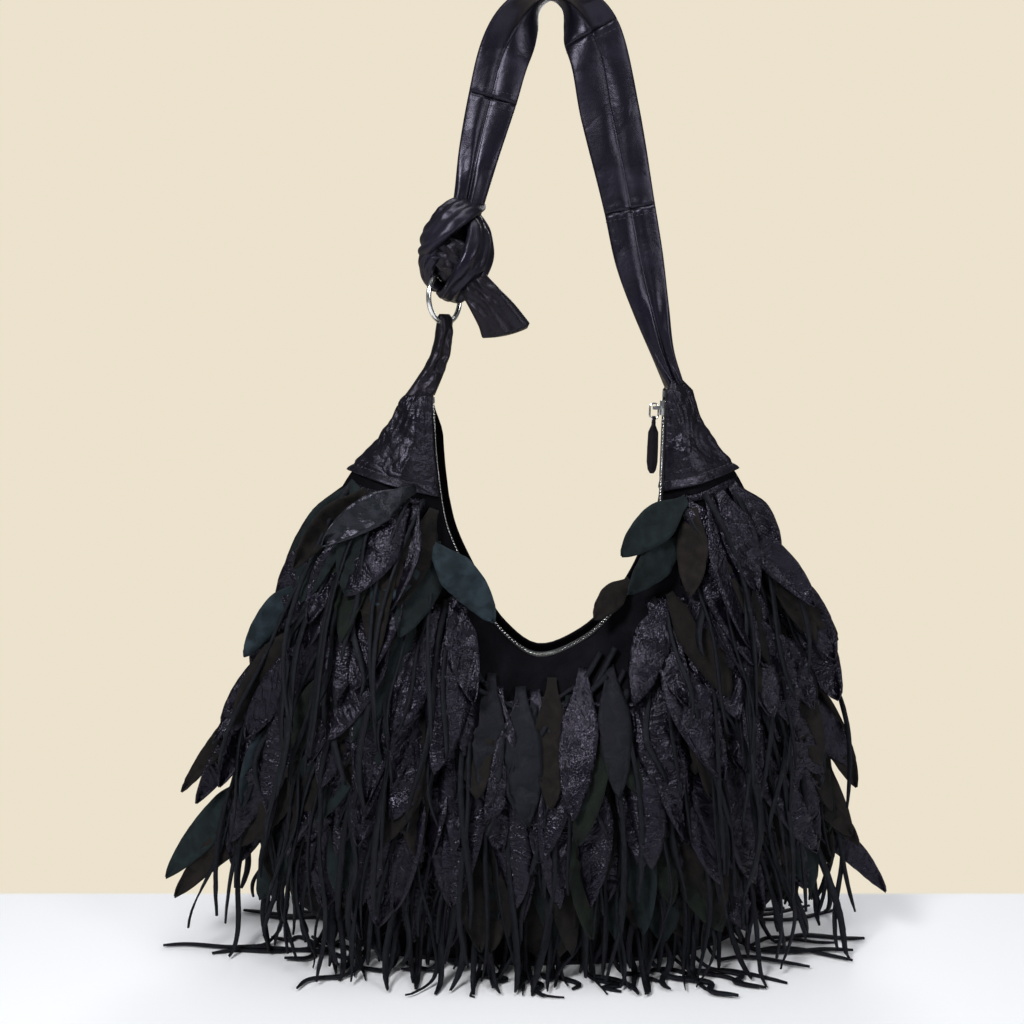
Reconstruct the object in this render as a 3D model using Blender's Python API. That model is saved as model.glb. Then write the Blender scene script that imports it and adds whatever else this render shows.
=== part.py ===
"""Fringed leather shoulder bag: a slouchy body with a zipped mouth, a knotted strap on a ring, and rows of
leather leaves and laces.

Metres, +Z up. The origin is in the middle of the base, on its underside. The front faces -Y.
"""

import math

import bmesh
import bpy
import numpy as np
from mathutils import Matrix, Vector

MM = 0.001
GAP = 0.3 * MM

# Body shell
WALL = 2.4 * MM
BASE_THICKNESS = 3.0 * MM
MOUTH_HALF_DEPTH = 9.4 * MM
MOUTH_FLARE = 0.62
SEAM_ROUNDING = 45.0 * MM
BELLY_HEIGHTS = np.array([0.0, 40.0, 90.0, 150.0, 220.0, 400.0]) * MM
BELLY_DEPTHS = np.array([42.0, 50.0, 54.0, 52.0, 48.0, 44.0]) * MM
PANEL_STATIONS = 28
PANEL_ROWS = 8
BASE_STATIONS = 17

# Mouth edge, left horn to right horn, as x and z. The right leg is straight, because the slider runs on it.
RIGHT_LEG_FOOT = np.array([84.5, 316.0]) * MM
RIGHT_LEG_TOP = np.array([86.5, 404.0]) * MM
MOUTH_POINTS = np.array([
    (-75.5, 400.0), (-72.0, 345.0), (-66.0, 308.0), (-50.0, 272.0), (-28.0, 233.0),
    (-3.0, 215.0), (30.0, 226.0), (58.0, 254.0), (76.0, 286.0),
]) * MM

# Side seams from horn to base, as x and z
LEFT_SIDE = np.array([
    (-93.0, 400.0), (-108.0, 374.0), (-132.0, 348.0), (-160.0, 290.0), (-186.0, 218.0),
    (-199.0, 143.0), (-198.0, 85.0), (-180.0, 30.0), (-148.0, 3.3),
]) * MM
RIGHT_SIDE = np.array([
    (102.0, 404.0), (114.0, 374.0), (136.0, 348.0), (160.0, 290.0), (181.0, 218.0),
    (190.0, 143.0), (189.0, 85.0), (172.0, 30.0), (143.0, 3.3),
]) * MM

# Caps over the horns
CAP_WALL = 2.0 * MM
CAP_GAP = 0.5 * MM
CAP_MOUTH_LENGTH = 70.0 * MM
CAP_SIDE_LENGTH = 66.0 * MM
CAP_STATIONS = 6
CAP_NOSE = 1.0 * MM
CAP_NOSE_POINTS = 5

# Zip
TAPE_THICKNESS = 1.0 * MM
TEETH_WIDTH = 2.2 * MM
TEETH_HEIGHT = 2.5 * MM
SLOT = 1.6 * MM
ZIP_SINK = 0.3 * MM
STOP_LENGTH = 4.0 * MM
STOP_INSET = 1.0 * MM
STOP_PROUD = 0.35 * MM
ZIP_STATIONS = 38

# Slider, link and pull
SLIDER_LENGTH = 10.0 * MM
SLIDER_HALF_WIDTH = 5.2 * MM
SLIDER_PLATE = 1.2 * MM
SLIDER_FLANGE = 1.2 * MM
SLIDER_TAPER = 0.92
SLIDER_DROP = 12.5 * MM
POST_LENGTH = 3.0 * MM
POST_INSET = 0.6 * MM
RUNNING_GAP = 0.35 * MM
LUG_HALF_WIDTH = 3.3 * MM
LUG_POST = 1.1 * MM
LUG_LENGTH = 2.4 * MM
BAR_SIZE = 1.3 * MM
LINK_WIRE = 0.65 * MM
LINK_BEND = 3.0 * MM
LINK_STRAIGHT = 5.0 * MM
LINK_GAP = 0.85 * MM
PULL_NECK = 2.6 * MM
PULL_WIDTH = 7.4 * MM
PULL_LENGTH = 38.0 * MM
PULL_EYE = LINK_WIRE + 0.7 * MM
PULL_EYE_WALL = 1.0 * MM
PULL_EYE_SHARE = 0.86
PULL_THICKNESS = 3.2 * MM
PULL_CROWN = 1.15
PULL_SHOULDER = 5.0 * MM

# Half-width shares of the pull at shares of its length, neck to end, with its thickness shares
PULL_OUTLINE = (
    (0.042, 0.5, 1.0), (0.105, 0.5, 1.0), (0.237, 0.92, 1.0), (0.526, 1.0, 1.0),
    (0.789, 1.0, 1.0), (0.934, 0.75, 1.0), (1.0, 0.35, 0.7),
)

# Ring and its tab
RING_CENTRE = np.array([-66.5, 0.0, 467.0]) * MM
RING_RADIUS = 17.2 * MM
RING_WIRE = 1.75 * MM
RING_TURN = math.radians(55.0)
RING_CLEARANCE = 0.55 * MM
TAB_WALL = 4.0 * MM
TAB_EYE_SHARE = 0.84
TAB_FOLD = 0.2

# Tab's section at shares of its height, foot to top
TAB_SHARES = (0.0, 0.16, 0.38, 0.62, TAB_EYE_SHARE, 0.95, 1.0)
TAB_WIDTHS = np.array([21.0, 18.0, 14.5, 13.0, 13.0, 12.4, 9.5]) * MM
TAB_DEPTHS = np.array([20.0, 15.0, 11.0, 9.5, 9.0, 7.6, 4.2]) * MM

# Strap: each row is x, y, z, width, thickness in millimetres and the turn of its width towards Y in degrees
STRAP_ROUTE = np.array([
    (-54.0, 0.0, 514.0, 19.0, 12.0, 0.0),
    (-50.0, 0.0, 529.0, 21.0, 11.0, 0.0),
    (-42.0, 0.0, 565.0, 28.0, 8.0, 0.0),
    (-33.0, 0.0, 599.0, 33.0, 7.0, 0.0),
    (-24.0, 0.0, 630.0, 35.0, 7.0, 12.0),
    (-13.0, 0.0, 651.0, 37.0, 7.0, 50.0),
    (-3.0, 0.0, 663.0, 39.0, 7.0, 85.0),
    (6.5, 0.0, 668.5, 40.0, 7.0, 90.0),
    (16.0, 0.0, 664.0, 40.0, 7.0, 85.0),
    (26.0, 0.0, 653.0, 39.0, 7.0, 50.0),
    (34.0, 0.0, 638.0, 39.0, 7.0, 12.0),
    (46.0, 0.0, 590.0, 40.0, 7.0, 0.0),
    (60.0, 0.0, 528.0, 35.0, 7.5, 0.0),
    (67.5, 0.0, 492.0, 33.0, 8.0, 0.0),
    (76.0, 0.0, 459.0, 25.0, 9.0, 0.0),
    (86.0, 0.0, 425.0, 15.0, 12.0, 0.0),
    (93.0, 0.0, 406.8, 13.0, 16.0, 0.0),
])
STRAP_SIDES = 12
STRAP_FOLD = 0.42
STRAP_FOLD_WIDTH = 0.15
STRAP_STEP = 15.0 * MM
LEFT_SEAM_Z = 599.0 * MM
TOP_SEAM_Z = 641.0 * MM
SHOULDER_SEAM_Z = 526.0 * MM

# Knot core and the bands round it: rows are x, y, z, width and thickness in millimetres
KNOT_CORE = np.array([-60.0, 0.0, 500.0]) * MM
KNOT_RADII = np.array([17.0, 13.0, 25.0]) * MM
KNOT_SIDES = 12
KNOT_RING_TILTS = np.radians([-75.0, -45.0, -15.0, 15.0, 45.0, 75.0])
UPPER_BAND = np.array([
    (-46, 8, 524, 18, 7), (-55, -8, 526, 21, 8), (-68, -13, 519, 23, 8), (-78, -6, 508, 22, 8),
    (-79, 6, 496, 18, 7), (-70, 11, 488, 14, 7),
])
FRONT_BAND = np.array([
    (-62, 7, 522, 16, 7), (-48, 2, 521, 20, 8), (-41, -8, 509, 23, 9), (-42, -16, 493, 25, 9),
    (-50, -17, 478, 23, 9), (-60, -9, 469, 18, 8), (-66, 2, 470, 14, 7),
])
SIDE_LOBE = np.array([
    (-64, -12, 500, 13, 7), (-74, -11, 496, 15, 8), (-78, -3, 486, 15, 8), (-74, 4, 477, 14, 8),
    (-64, 6, 474, 12, 7),
])
TAIL = np.array([
    (-54, -10, 490, 18, 9), (-46, -15, 476, 21, 9), (-38, -16, 465, 24, 8), (-30, -14, 454, 27, 7),
    (-22.5, -12, 443, 30, 6),
])
BAND_SIDES = 10

# Fringe
FRINGE_SKIN = 2.5 * MM
SEAT_GAP = 0.45 * MM
LOW_SEAT_GAP = -0.3 * MM
FRINGE_SLOPE = 0.185
FRINGE_LAYER = 2.6 * MM
HEADER_HEIGHT = 7.0 * MM
HEADER_THICKNESS = 1.4 * MM
LEAF_RIDGE = 1.4 * MM
ROW_RISE = 0.25
ROW_FLAT = 70.0 * MM
HORN_LEVELS = np.array([320.0, 286.0, 252.0, 218.0]) * MM
LOWER_LEVELS = np.array([184.0, 149.0, 113.0, 77.0]) * MM
HEM_LEVEL = 44.0 * MM
MOUTH_CLEAR = 9.0 * MM
PLAIN_BAND = 24.0 * MM
SIDE_CLEAR = 3.0 * MM
LEAF_PITCH = 29.0 * MM
LEAF_WIDTH = 30.0 * MM
LACE_WIDTH = 5.0 * MM
LEAF_LENGTHS = (78.0 * MM, 104.0 * MM)
LACE_LENGTHS = (105.0 * MM, 175.0 * MM)
LACE_SHARE = 0.3
ROOT_WIDTH_SHARE = 0.42
ROOT_JITTER = 0.05
ANGLE_JITTER = 0.07
STRAIGHTENING = 0.45
FAN_ANGLE = math.radians(46.0)
FAN_START = 75.0 * MM
FAN_SPAN = 120.0 * MM
TIP_HEIGHT = 7.0 * MM
FLOOR_LACE_HEIGHT = 2.4 * MM
FLOOR_LACE_BEND = 9.0 * MM
FLOOR_LACE_BOW = 0.12

# Where the hem row's long laces end on the floor: x and distance from the bag's middle plane
FRONT_FLOOR_ENDS = np.array([(-270.0, 24.0), (-166.0, 77.0), (-60.0, 62.0), (21.0, 84.0), (132.0, 86.0),
                             (224.0, 42.0)]) * MM
BACK_FLOOR_ENDS = np.array([(-228.0, 40.0), (-120.0, 80.0), (-30.0, 70.0), (70.0, 82.0), (150.0, 74.0),
                            (232.0, 34.0)]) * MM


def clear_scene():
    for thing in list(bpy.data.objects):
        bpy.data.objects.remove(thing, do_unlink=True)


def finish(name, colour, roughness, metallic=0.0):
    """Principled material from an sRGB hex colour."""
    material = bpy.data.materials.new(name)
    material.use_nodes = True
    levels = [int(colour[i:i + 2], 16) / 255.0 for i in (0, 2, 4)]
    linear = [c / 12.92 if c <= 0.04045 else ((c + 0.055) / 1.055) ** 2.4 for c in levels]
    shader = material.node_tree.nodes["Principled BSDF"]
    shader.inputs["Base Color"].default_value = (*linear, 1.0)
    shader.inputs["Roughness"].default_value = roughness
    shader.inputs["Metallic"].default_value = metallic
    return material


def add_object(name, mesh, material, origin=(0.0, 0.0, 0.0)):
    """Link a mesh in world coordinates, with the object's origin at the given point."""
    mesh.name = name
    mesh.materials.append(material)
    mesh.transform(Matrix.Translation(-Vector(origin)))
    thing = bpy.data.objects.new(name, mesh)
    thing.location = origin
    bpy.context.scene.collection.objects.link(thing)
    return thing


def closed_mesh(vertices, faces):
    """Mesh from vertices and faces, with its normals outwards."""
    mesh = bpy.data.meshes.new("mesh")
    mesh.from_pydata([tuple(v) for v in np.asarray(vertices, float)], [], faces)
    edit = bmesh.new()
    edit.from_mesh(mesh)
    bmesh.ops.recalc_face_normals(edit, faces=edit.faces)
    edit.to_mesh(mesh)
    edit.free()
    return mesh


def shell(outer, inner):
    """Closed wall between two grids of points of the same size."""
    rows, columns = outer.shape[:2]
    index = np.arange(rows * columns).reshape(rows, columns)
    shift = rows * columns
    faces = []
    for i in range(rows - 1):
        for j in range(columns - 1):
            a, b, c, d = index[i, j], index[i + 1, j], index[i + 1, j + 1], index[i, j + 1]
            for corners in ((a, b, c), (a, c, d)):
                faces.append([int(v) for v in corners])
                faces.append([int(v) + shift for v in reversed(corners)])
    rim = [*index[:, 0], *index[-1, 1:], *index[-2::-1, -1], *index[0, -2:0:-1]]
    for a, b in zip(rim, rim[1:] + rim[:1]):
        faces.append([int(b), int(a), int(a) + shift, int(b) + shift])
    return closed_mesh(np.concatenate([outer.reshape(-1, 3), inner.reshape(-1, 3)]), faces)


def loft(rings, closed=False):
    """Closed body through rings of points: capped at both ends, or joined end to start."""
    rings = np.asarray(rings)
    count, sides = rings.shape[:2]
    faces = []
    for i in range(count if closed else count - 1):
        here = i * sides
        there = (i + 1) % count * sides
        for j in range(sides):
            k = (j + 1) % sides
            faces.append([here + j, here + k, there + k, there + j])
    if not closed:
        faces.append(list(range(sides))[::-1])
        faces.append([(count - 1) * sides + j for j in range(sides)])
    return closed_mesh(rings.reshape(-1, 3), faces)


def combine(base, other, operation):
    """Boolean of two closed meshes, as a new mesh."""
    things = [bpy.data.objects.new("piece", mesh) for mesh in (base, other)]
    for thing in things:
        bpy.context.scene.collection.objects.link(thing)
    cut = things[0].modifiers.new("cut", "BOOLEAN")
    cut.operation = operation
    cut.solver = "EXACT"
    cut.object = things[1]
    bpy.context.view_layer.update()
    ready = things[0].evaluated_get(bpy.context.evaluated_depsgraph_get())
    mesh = bpy.data.meshes.new_from_object(ready)
    for thing in things:
        bpy.data.objects.remove(thing, do_unlink=True)
    return mesh


def spline(points, count, axes=3, end_slope=None):
    """Smooth curve through points, read at evenly spaced places along its length in the first axes."""
    points = np.asarray(points, float)
    length = run_length(points[:, :axes])
    slope = np.gradient(points, length, axis=0)
    if end_slope is not None:
        slope[-1] = end_slope
    fine = np.linspace(0.0, length[-1], 30 * len(points))
    i = np.clip(np.searchsorted(length, fine, side="right") - 1, 0, len(points) - 2)
    span = (length[i + 1] - length[i])[:, None]
    u = (fine - length[i])[:, None] / span
    curve = (2 * u**3 - 3 * u**2 + 1) * points[i] + (3 * u**2 - 2 * u**3) * points[i + 1]
    curve += span * ((u**3 - 2 * u**2 + u) * slope[i] + (u**3 - u**2) * slope[i + 1])
    return resample(curve, np.linspace(0.0, run_length(curve[:, :axes])[-1], count), axes)


def run_length(points):
    steps = np.linalg.norm(np.diff(points, axis=0), axis=1)
    return np.concatenate([[0.0], np.cumsum(steps)])


def resample(curve, places, axes=3):
    """Points of a fine curve at the given distances along it."""
    run = run_length(curve[:, :axes])
    return np.stack([np.interp(places, run, column) for column in curve.T], axis=-1)


def unit(vectors):
    return vectors / np.linalg.norm(vectors, axis=-1, keepdims=True)


def mouth_edge():
    """Mouth curve in x and z: smooth down the left leg and along the bottom, then the straight right leg."""
    leg = RIGHT_LEG_TOP - RIGHT_LEG_FOOT
    curve = spline(np.vstack([MOUTH_POINTS, RIGHT_LEG_FOOT]), 60, 2, unit(leg))
    return np.vstack([curve, RIGHT_LEG_TOP])


MOUTH = mouth_edge()
MOUTH_LENGTH = run_length(MOUTH)[-1]
LEFT = spline(LEFT_SIDE, 40, 2)
RIGHT = spline(RIGHT_SIDE, 40, 2)
SEAM_DEPTH = WALL + GAP / 2
PANEL_FOOT = BASE_THICKNESS + GAP


def distance(points, line):
    """Shortest distance from each point to a line of straight runs."""
    start = line[:-1]
    run = line[1:] - start
    share = ((points[:, None] - start) * run).sum(-1) / (run * run).sum(-1)
    nearest = start + np.clip(share, 0.0, 1.0)[..., None] * run
    return np.linalg.norm(points[:, None] - nearest, axis=-1).min(axis=1)


def side_x(z):
    """The two side seams' x at a height."""
    return np.interp(z, LEFT[::-1, 1], LEFT[::-1, 0]), np.interp(z, RIGHT[::-1, 1], RIGHT[::-1, 0])


def mouth_distance(x, z):
    """Distance below or beside the mouth edge, 0 in the mouth itself."""
    far = distance(np.stack([x, z], axis=-1), MOUTH)
    leather = (z < np.interp(x, MOUTH[:, 0], MOUTH[:, 1])) | (x < MOUTH[0, 0]) | (x > MOUTH[-1, 0])
    return np.where(leather, far, 0.0)


def body_depth(x, z):
    """Half depth of the body: it grows from the side seams and from the mouth edge, whichever is less."""
    shape = np.shape(x)
    x = np.ravel(x)
    z = np.ravel(z)
    points = np.stack([x, z], axis=-1)
    left, right = side_x(z)
    seam = np.minimum(distance(points, LEFT), distance(points, RIGHT))
    seam = np.where((x > left) & (x < right), seam, 0.0)
    belly = np.interp(z, BELLY_HEIGHTS, BELLY_DEPTHS)
    rounded = SEAM_DEPTH + belly * (1.0 - np.exp(-seam / SEAM_ROUNDING))
    flared = MOUTH_HALF_DEPTH + MOUTH_FLARE * mouth_distance(x, z)
    return ((rounded**-6 + flared**-6) ** (-1.0 / 6.0)).reshape(shape)


def outer_edge():
    """Panel's outer edge in x and z: down the left side, along the base and up the right side."""
    base = np.array([(LEFT[-1, 0], PANEL_FOOT), (RIGHT[-1, 0], PANEL_FOOT)])
    return np.vstack([LEFT[:-1], base, RIGHT[-2::-1]])


def rulings():
    """Matching points on the mouth edge and the outer edge. The first and last few lie under the caps."""
    outer = outer_edge()
    outer_length = run_length(outer)[-1]
    cap = np.linspace(0.0, 1.0, CAP_STATIONS)
    middle = np.linspace(0.0, 1.0, PANEL_STATIONS)[1:-1]
    mouth_run = MOUTH_LENGTH - 2 * CAP_MOUTH_LENGTH
    outer_run = outer_length - 2 * CAP_SIDE_LENGTH
    mouth_places = [
        cap * CAP_MOUTH_LENGTH, CAP_MOUTH_LENGTH + middle * mouth_run,
        MOUTH_LENGTH - cap[::-1] * CAP_MOUTH_LENGTH,
    ]
    outer_places = [
        cap * CAP_SIDE_LENGTH, CAP_SIDE_LENGTH + middle * outer_run,
        outer_length - cap[::-1] * CAP_SIDE_LENGTH,
    ]
    return resample(MOUTH, np.concatenate(mouth_places), 2), resample(outer, np.concatenate(outer_places), 2)


MOUTH_ENDS, OUTER_ENDS = rulings()


def make_panel(name, side, material):
    """Curved half of the body, side -1 for the front. Its wall is measured along Y."""
    share = np.linspace(0.0, 1.0, PANEL_ROWS)[None, :, None]
    flat = MOUTH_ENDS[:, None] + (OUTER_ENDS - MOUTH_ENDS)[:, None] * share
    depth = body_depth(flat[..., 0], flat[..., 1])
    outer = np.stack([flat[..., 0], side * depth, flat[..., 1]], axis=-1)
    inner = np.stack([flat[..., 0], side * (depth - WALL), flat[..., 1]], axis=-1)
    return add_object(name, shell(outer, inner), material)


def make_base(material):
    """Flat plate under both panels, cut to their foot line."""
    x = np.linspace(LEFT[-1, 0], RIGHT[-1, 0], BASE_STATIONS)
    depth = body_depth(x, np.full_like(x, PANEL_FOOT))
    outline = np.concatenate([np.stack([x, -depth], axis=-1), np.stack([x, depth], axis=-1)[::-1]])
    rings = [np.column_stack([outline, np.full(len(outline), z)]) for z in (0.0, BASE_THICKNESS)]
    return add_object("base_panel", loft(rings), material)


def cap_grid(stations, offset):
    """Sections of a cap round the side seam, at a distance outside the panels."""
    share = np.linspace(0.0, 1.0, PANEL_ROWS)
    angles = np.linspace(-math.pi / 2, math.pi / 2, CAP_NOSE_POINTS + 2)[1:-1]
    sections = []
    for k in stations:
        mouth = MOUTH_ENDS[k]
        run = OUTER_ENDS[k] - mouth
        flat = mouth + run * share[:, None]
        depth = body_depth(flat[:, 0], flat[:, 1]) + offset
        front = np.stack([flat[:, 0], -depth, flat[:, 1]], axis=-1)
        back = np.stack([flat[:, 0], depth, flat[:, 1]], axis=-1)[::-1]
        reach = (offset + CAP_NOSE) * np.cos(angles)
        end = OUTER_ENDS[k] + unit(run) * reach[:, None]
        nose = np.stack([end[:, 0], (SEAM_DEPTH + offset) * np.sin(angles), end[:, 1]], axis=-1)
        sections.append(np.vstack([front, nose, back]))
    return np.array(sections)


def make_cap(name, stations, material):
    outer = cap_grid(stations, CAP_GAP + CAP_WALL)
    inner = cap_grid(stations, CAP_GAP)
    return add_object(name, shell(outer, inner), material)


def zip_bar(y_range, height_range, start, end, count):
    """Bar of rectangular section along the mouth edge. Height is measured out of the bag, from the edge."""
    places = np.linspace(start, end, count)
    line = resample(MOUTH, places, 2)
    ahead = resample(MOUTH, np.minimum(places + MM, MOUTH_LENGTH), 2)
    behind = resample(MOUTH, np.maximum(places - MM, 0.0), 2)
    along = unit(ahead - behind)
    out = np.stack([-along[:, 1], along[:, 0]], axis=-1)
    low, high = height_range
    corners = [(y_range[0], low), (y_range[1], low), (y_range[1], high), (y_range[0], high)]
    rings = []
    for point, normal in zip(line, out):
        spots = [point + normal * height for _, height in corners]
        rings.append([(spot[0], y, spot[1]) for spot, (y, _) in zip(spots, corners)])
    return loft(rings)


def make_zip(tape, metal):
    """Two tapes inside the panels' mouth edges, two rows of teeth with a slot between them, and the stops."""
    row_inner = SLOT / 2
    row_outer = row_inner + TEETH_WIDTH
    tape_inner = row_outer + GAP
    tape_outer = MOUTH_HALF_DEPTH - WALL - GAP
    tape_heights = (-ZIP_SINK - TAPE_THICKNESS / 2, -ZIP_SINK + TAPE_THICKNESS / 2)
    teeth_heights = (-ZIP_SINK - TEETH_HEIGHT / 2, -ZIP_SINK + TEETH_HEIGHT / 2)
    stop_heights = (teeth_heights[0] - STOP_PROUD, teeth_heights[1] + STOP_PROUD)
    row_start = STOP_INSET + STOP_LENGTH + GAP
    for name, side in (("front", -1), ("back", 1)):
        tape_sides = (side * tape_inner, side * tape_outer)
        row_sides = (side * row_inner, side * row_outer)
        bar = zip_bar(tape_sides, tape_heights, 0.0, MOUTH_LENGTH, ZIP_STATIONS)
        add_object(f"zip_tape_{name}", bar, tape)
        bar = zip_bar(row_sides, teeth_heights, row_start, MOUTH_LENGTH - row_start, ZIP_STATIONS)
        add_object(f"zip_teeth_{name}", bar, metal)
    stops = {"zip_bottom_stop": STOP_INSET, "zip_top_stop": MOUTH_LENGTH - STOP_INSET - STOP_LENGTH}
    for name, start in stops.items():
        bar = zip_bar((-row_outer, row_outer), stop_heights, start, start + STOP_LENGTH, 2)
        add_object(name, bar, metal)


LEG_DOWN = unit(RIGHT_LEG_FOOT - RIGHT_LEG_TOP)
DOWN = np.array([LEG_DOWN[0], 0.0, LEG_DOWN[1]])
OUT = np.array([LEG_DOWN[1], 0.0, -LEG_DOWN[0]])
ACROSS = np.array([0.0, 1.0, 0.0])
LEG_TOP = np.array([RIGHT_LEG_TOP[0], 0.0, RIGHT_LEG_TOP[1]])
SLIDER_CENTRE = LEG_TOP + DOWN * SLIDER_DROP - OUT * ZIP_SINK
PLATE_TOP = TEETH_HEIGHT / 2 + RUNNING_GAP + SLIDER_PLATE
BAR_OUT = PLATE_TOP + LINK_GAP + LINK_WIRE + LINK_BEND
BAR_CENTRE = SLIDER_CENTRE + OUT * BAR_OUT
EYE_DOWN = LINK_STRAIGHT + LINK_BEND
EYE_CENTRE = BAR_CENTRE + DOWN * EYE_DOWN


def on_slider(out, across, down):
    """Point in the slider's own directions: out of the bag, across the zip, down the zip."""
    return SLIDER_CENTRE + OUT * out + ACROSS * across + DOWN * down


def block(out, across, down):
    """Box on the slider, each side given as a pair of limits."""
    rings = []
    for d in down:
        corners = [(out[0], across[0]), (out[1], across[0]), (out[1], across[1]), (out[0], across[1])]
        rings.append([on_slider(o, a, d) for o, a in corners])
    return loft(rings)


def slider_plate(side):
    """One plate of the slider with a flange along each edge, a little narrower towards its lower end."""
    inner = TEETH_HEIGHT / 2 + RUNNING_GAP
    flange = TAPE_THICKNESS / 2 + RUNNING_GAP
    edge = SLIDER_HALF_WIDTH
    root = edge - SLIDER_FLANGE
    profile = [
        (-edge, flange), (-edge, inner + SLIDER_PLATE), (edge, inner + SLIDER_PLATE), (edge, flange),
        (root, flange), (root, inner), (-root, inner), (-root, flange),
    ]
    rings = []
    for down, width in ((-SLIDER_LENGTH / 2, 1.0), (0.0, 1.0), (SLIDER_LENGTH / 2, SLIDER_TAPER)):
        rings.append([on_slider(side * out, across * width, down) for across, out in profile])
    return loft(rings)


def make_slider(material):
    """Two flanged plates joined by a post in the zip's slot, with a lug whose bar carries the link."""
    inner = TEETH_HEIGHT / 2 + RUNNING_GAP
    sunk = SLIDER_PLATE / 2
    post_half = SLOT / 2 - RUNNING_GAP
    post_down = (-SLIDER_LENGTH / 2 + POST_INSET, -SLIDER_LENGTH / 2 + POST_INSET + POST_LENGTH)
    post = block((-inner - sunk, inner + sunk), (-post_half, post_half), post_down)
    lug_down = (-LUG_LENGTH / 2, LUG_LENGTH / 2)
    bar_half = BAR_SIZE / 2
    lug = block((PLATE_TOP - sunk, BAR_OUT + bar_half), (-LUG_HALF_WIDTH, LUG_HALF_WIDTH), lug_down)
    hole_half = LUG_HALF_WIDTH - LUG_POST
    hole_out = (PLATE_TOP - SLIDER_PLATE, BAR_OUT - bar_half)
    hole = block(hole_out, (-hole_half, hole_half), (-LUG_LENGTH, LUG_LENGTH))
    body = combine(slider_plate(1), post, "UNION")
    body = combine(body, slider_plate(-1), "UNION")
    body = combine(body, combine(lug, hole, "DIFFERENCE"), "UNION")
    return add_object("zip_slider", body, material, SLIDER_CENTRE)


def tube(path, axis, radius, sides, spread=0.0):
    """Closed round wire along a flat closed path. The axis is square to the path's plane."""
    path = np.asarray(path)
    along = unit(np.roll(path, -1, axis=0) - np.roll(path, 1, axis=0))
    outward = np.cross(along, axis)
    angles = np.linspace(0.0, 2 * math.pi, sides, endpoint=False) + spread
    rings = [
        [p + radius * (math.cos(a) * o + math.sin(a) * axis) for a in angles]
        for p, o in zip(path, outward)
    ]
    return loft(rings, closed=True)


def make_link(material):
    """Small oval ring round the lug's bar."""
    path = []
    for centre, start in ((0.0, math.pi), (LINK_STRAIGHT, 0.0)):
        for angle in np.linspace(start, start + math.pi, 8):
            path.append(BAR_CENTRE + LINK_BEND * math.cos(angle) * OUT
                        + (centre + LINK_BEND * math.sin(angle)) * DOWN)
    return add_object("pull_link", tube(path, ACROSS, LINK_WIRE, 8), material, BAR_CENTRE)


def round_bar(centre, axis, radius, length, sides):
    """Round bar about an axis that is square to Y."""
    other = np.cross(axis, ACROSS)
    rings = []
    for reach in (-length / 2, length / 2):
        ring = []
        for angle in np.linspace(0.0, 2 * math.pi, sides, endpoint=False):
            ring.append(centre + axis * reach + radius * (math.cos(angle) * ACROSS + math.sin(angle) * other))
        rings.append(ring)
    return loft(rings)


def make_pull(material):
    """Leather tab that is folded round the link: a narrow eye, then a long leaf with a round end."""
    eye_radius = PULL_EYE + PULL_EYE_WALL
    rings = []
    for share, wide, deep in PULL_OUTLINE:
        down = share * PULL_LENGTH
        half = max(PULL_NECK, wide * PULL_WIDTH) / 2 if down > PULL_SHOULDER else PULL_NECK / 2
        thick = deep * PULL_THICKNESS / 2
        corners = [(-half, -thick), (0.0, -thick * PULL_CROWN), (half, -thick), (half, thick),
                   (0.0, thick * PULL_CROWN), (-half, thick)]
        rings.append([EYE_CENTRE + OUT * o + ACROSS * a + DOWN * down for o, a in corners])
    eye = round_bar(EYE_CENTRE, OUT, eye_radius, PULL_NECK * PULL_EYE_SHARE, 16)
    body = combine(loft(rings), eye, "UNION")
    body = combine(body, round_bar(EYE_CENTRE, OUT, PULL_EYE, 4 * PULL_NECK, 12), "DIFFERENCE")
    return add_object("leather_pull", body, material, EYE_CENTRE)


RING_AXIS = np.array([math.sin(RING_TURN), -math.cos(RING_TURN), 0.0])
RING_ACROSS = np.array([math.cos(RING_TURN), math.sin(RING_TURN), 0.0])


def ring_mesh(wire, count, sides):
    path = [
        RING_CENTRE + RING_RADIUS * (math.cos(a) * RING_ACROSS + math.sin(a) * np.array([0.0, 0.0, 1.0]))
        for a in np.linspace(0.0, 2 * math.pi, count, endpoint=False)
    ]
    return tube(path, RING_AXIS, wire, sides)


def ring_room():
    """Space that the ring needs as it turns."""
    return ring_mesh(RING_WIRE + RING_CLEARANCE, 32, 12)


def section(centre, width_way, face_way, width, thickness, sides, fold=0.0):
    """Flattened tube section, with a lengthwise fold pressed into the middle of both faces."""
    angles = np.linspace(0.0, 2 * math.pi, sides, endpoint=False)
    across = np.cos(angles)
    dent = 1.0 - fold * np.exp(-(across / STRAP_FOLD_WIDTH) ** 2)
    through = np.sign(np.sin(angles)) * np.abs(np.sin(angles)) ** 0.7 * dent
    return centre + np.outer(across * width / 2, width_way) + np.outer(through * thickness / 2, face_way)


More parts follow.
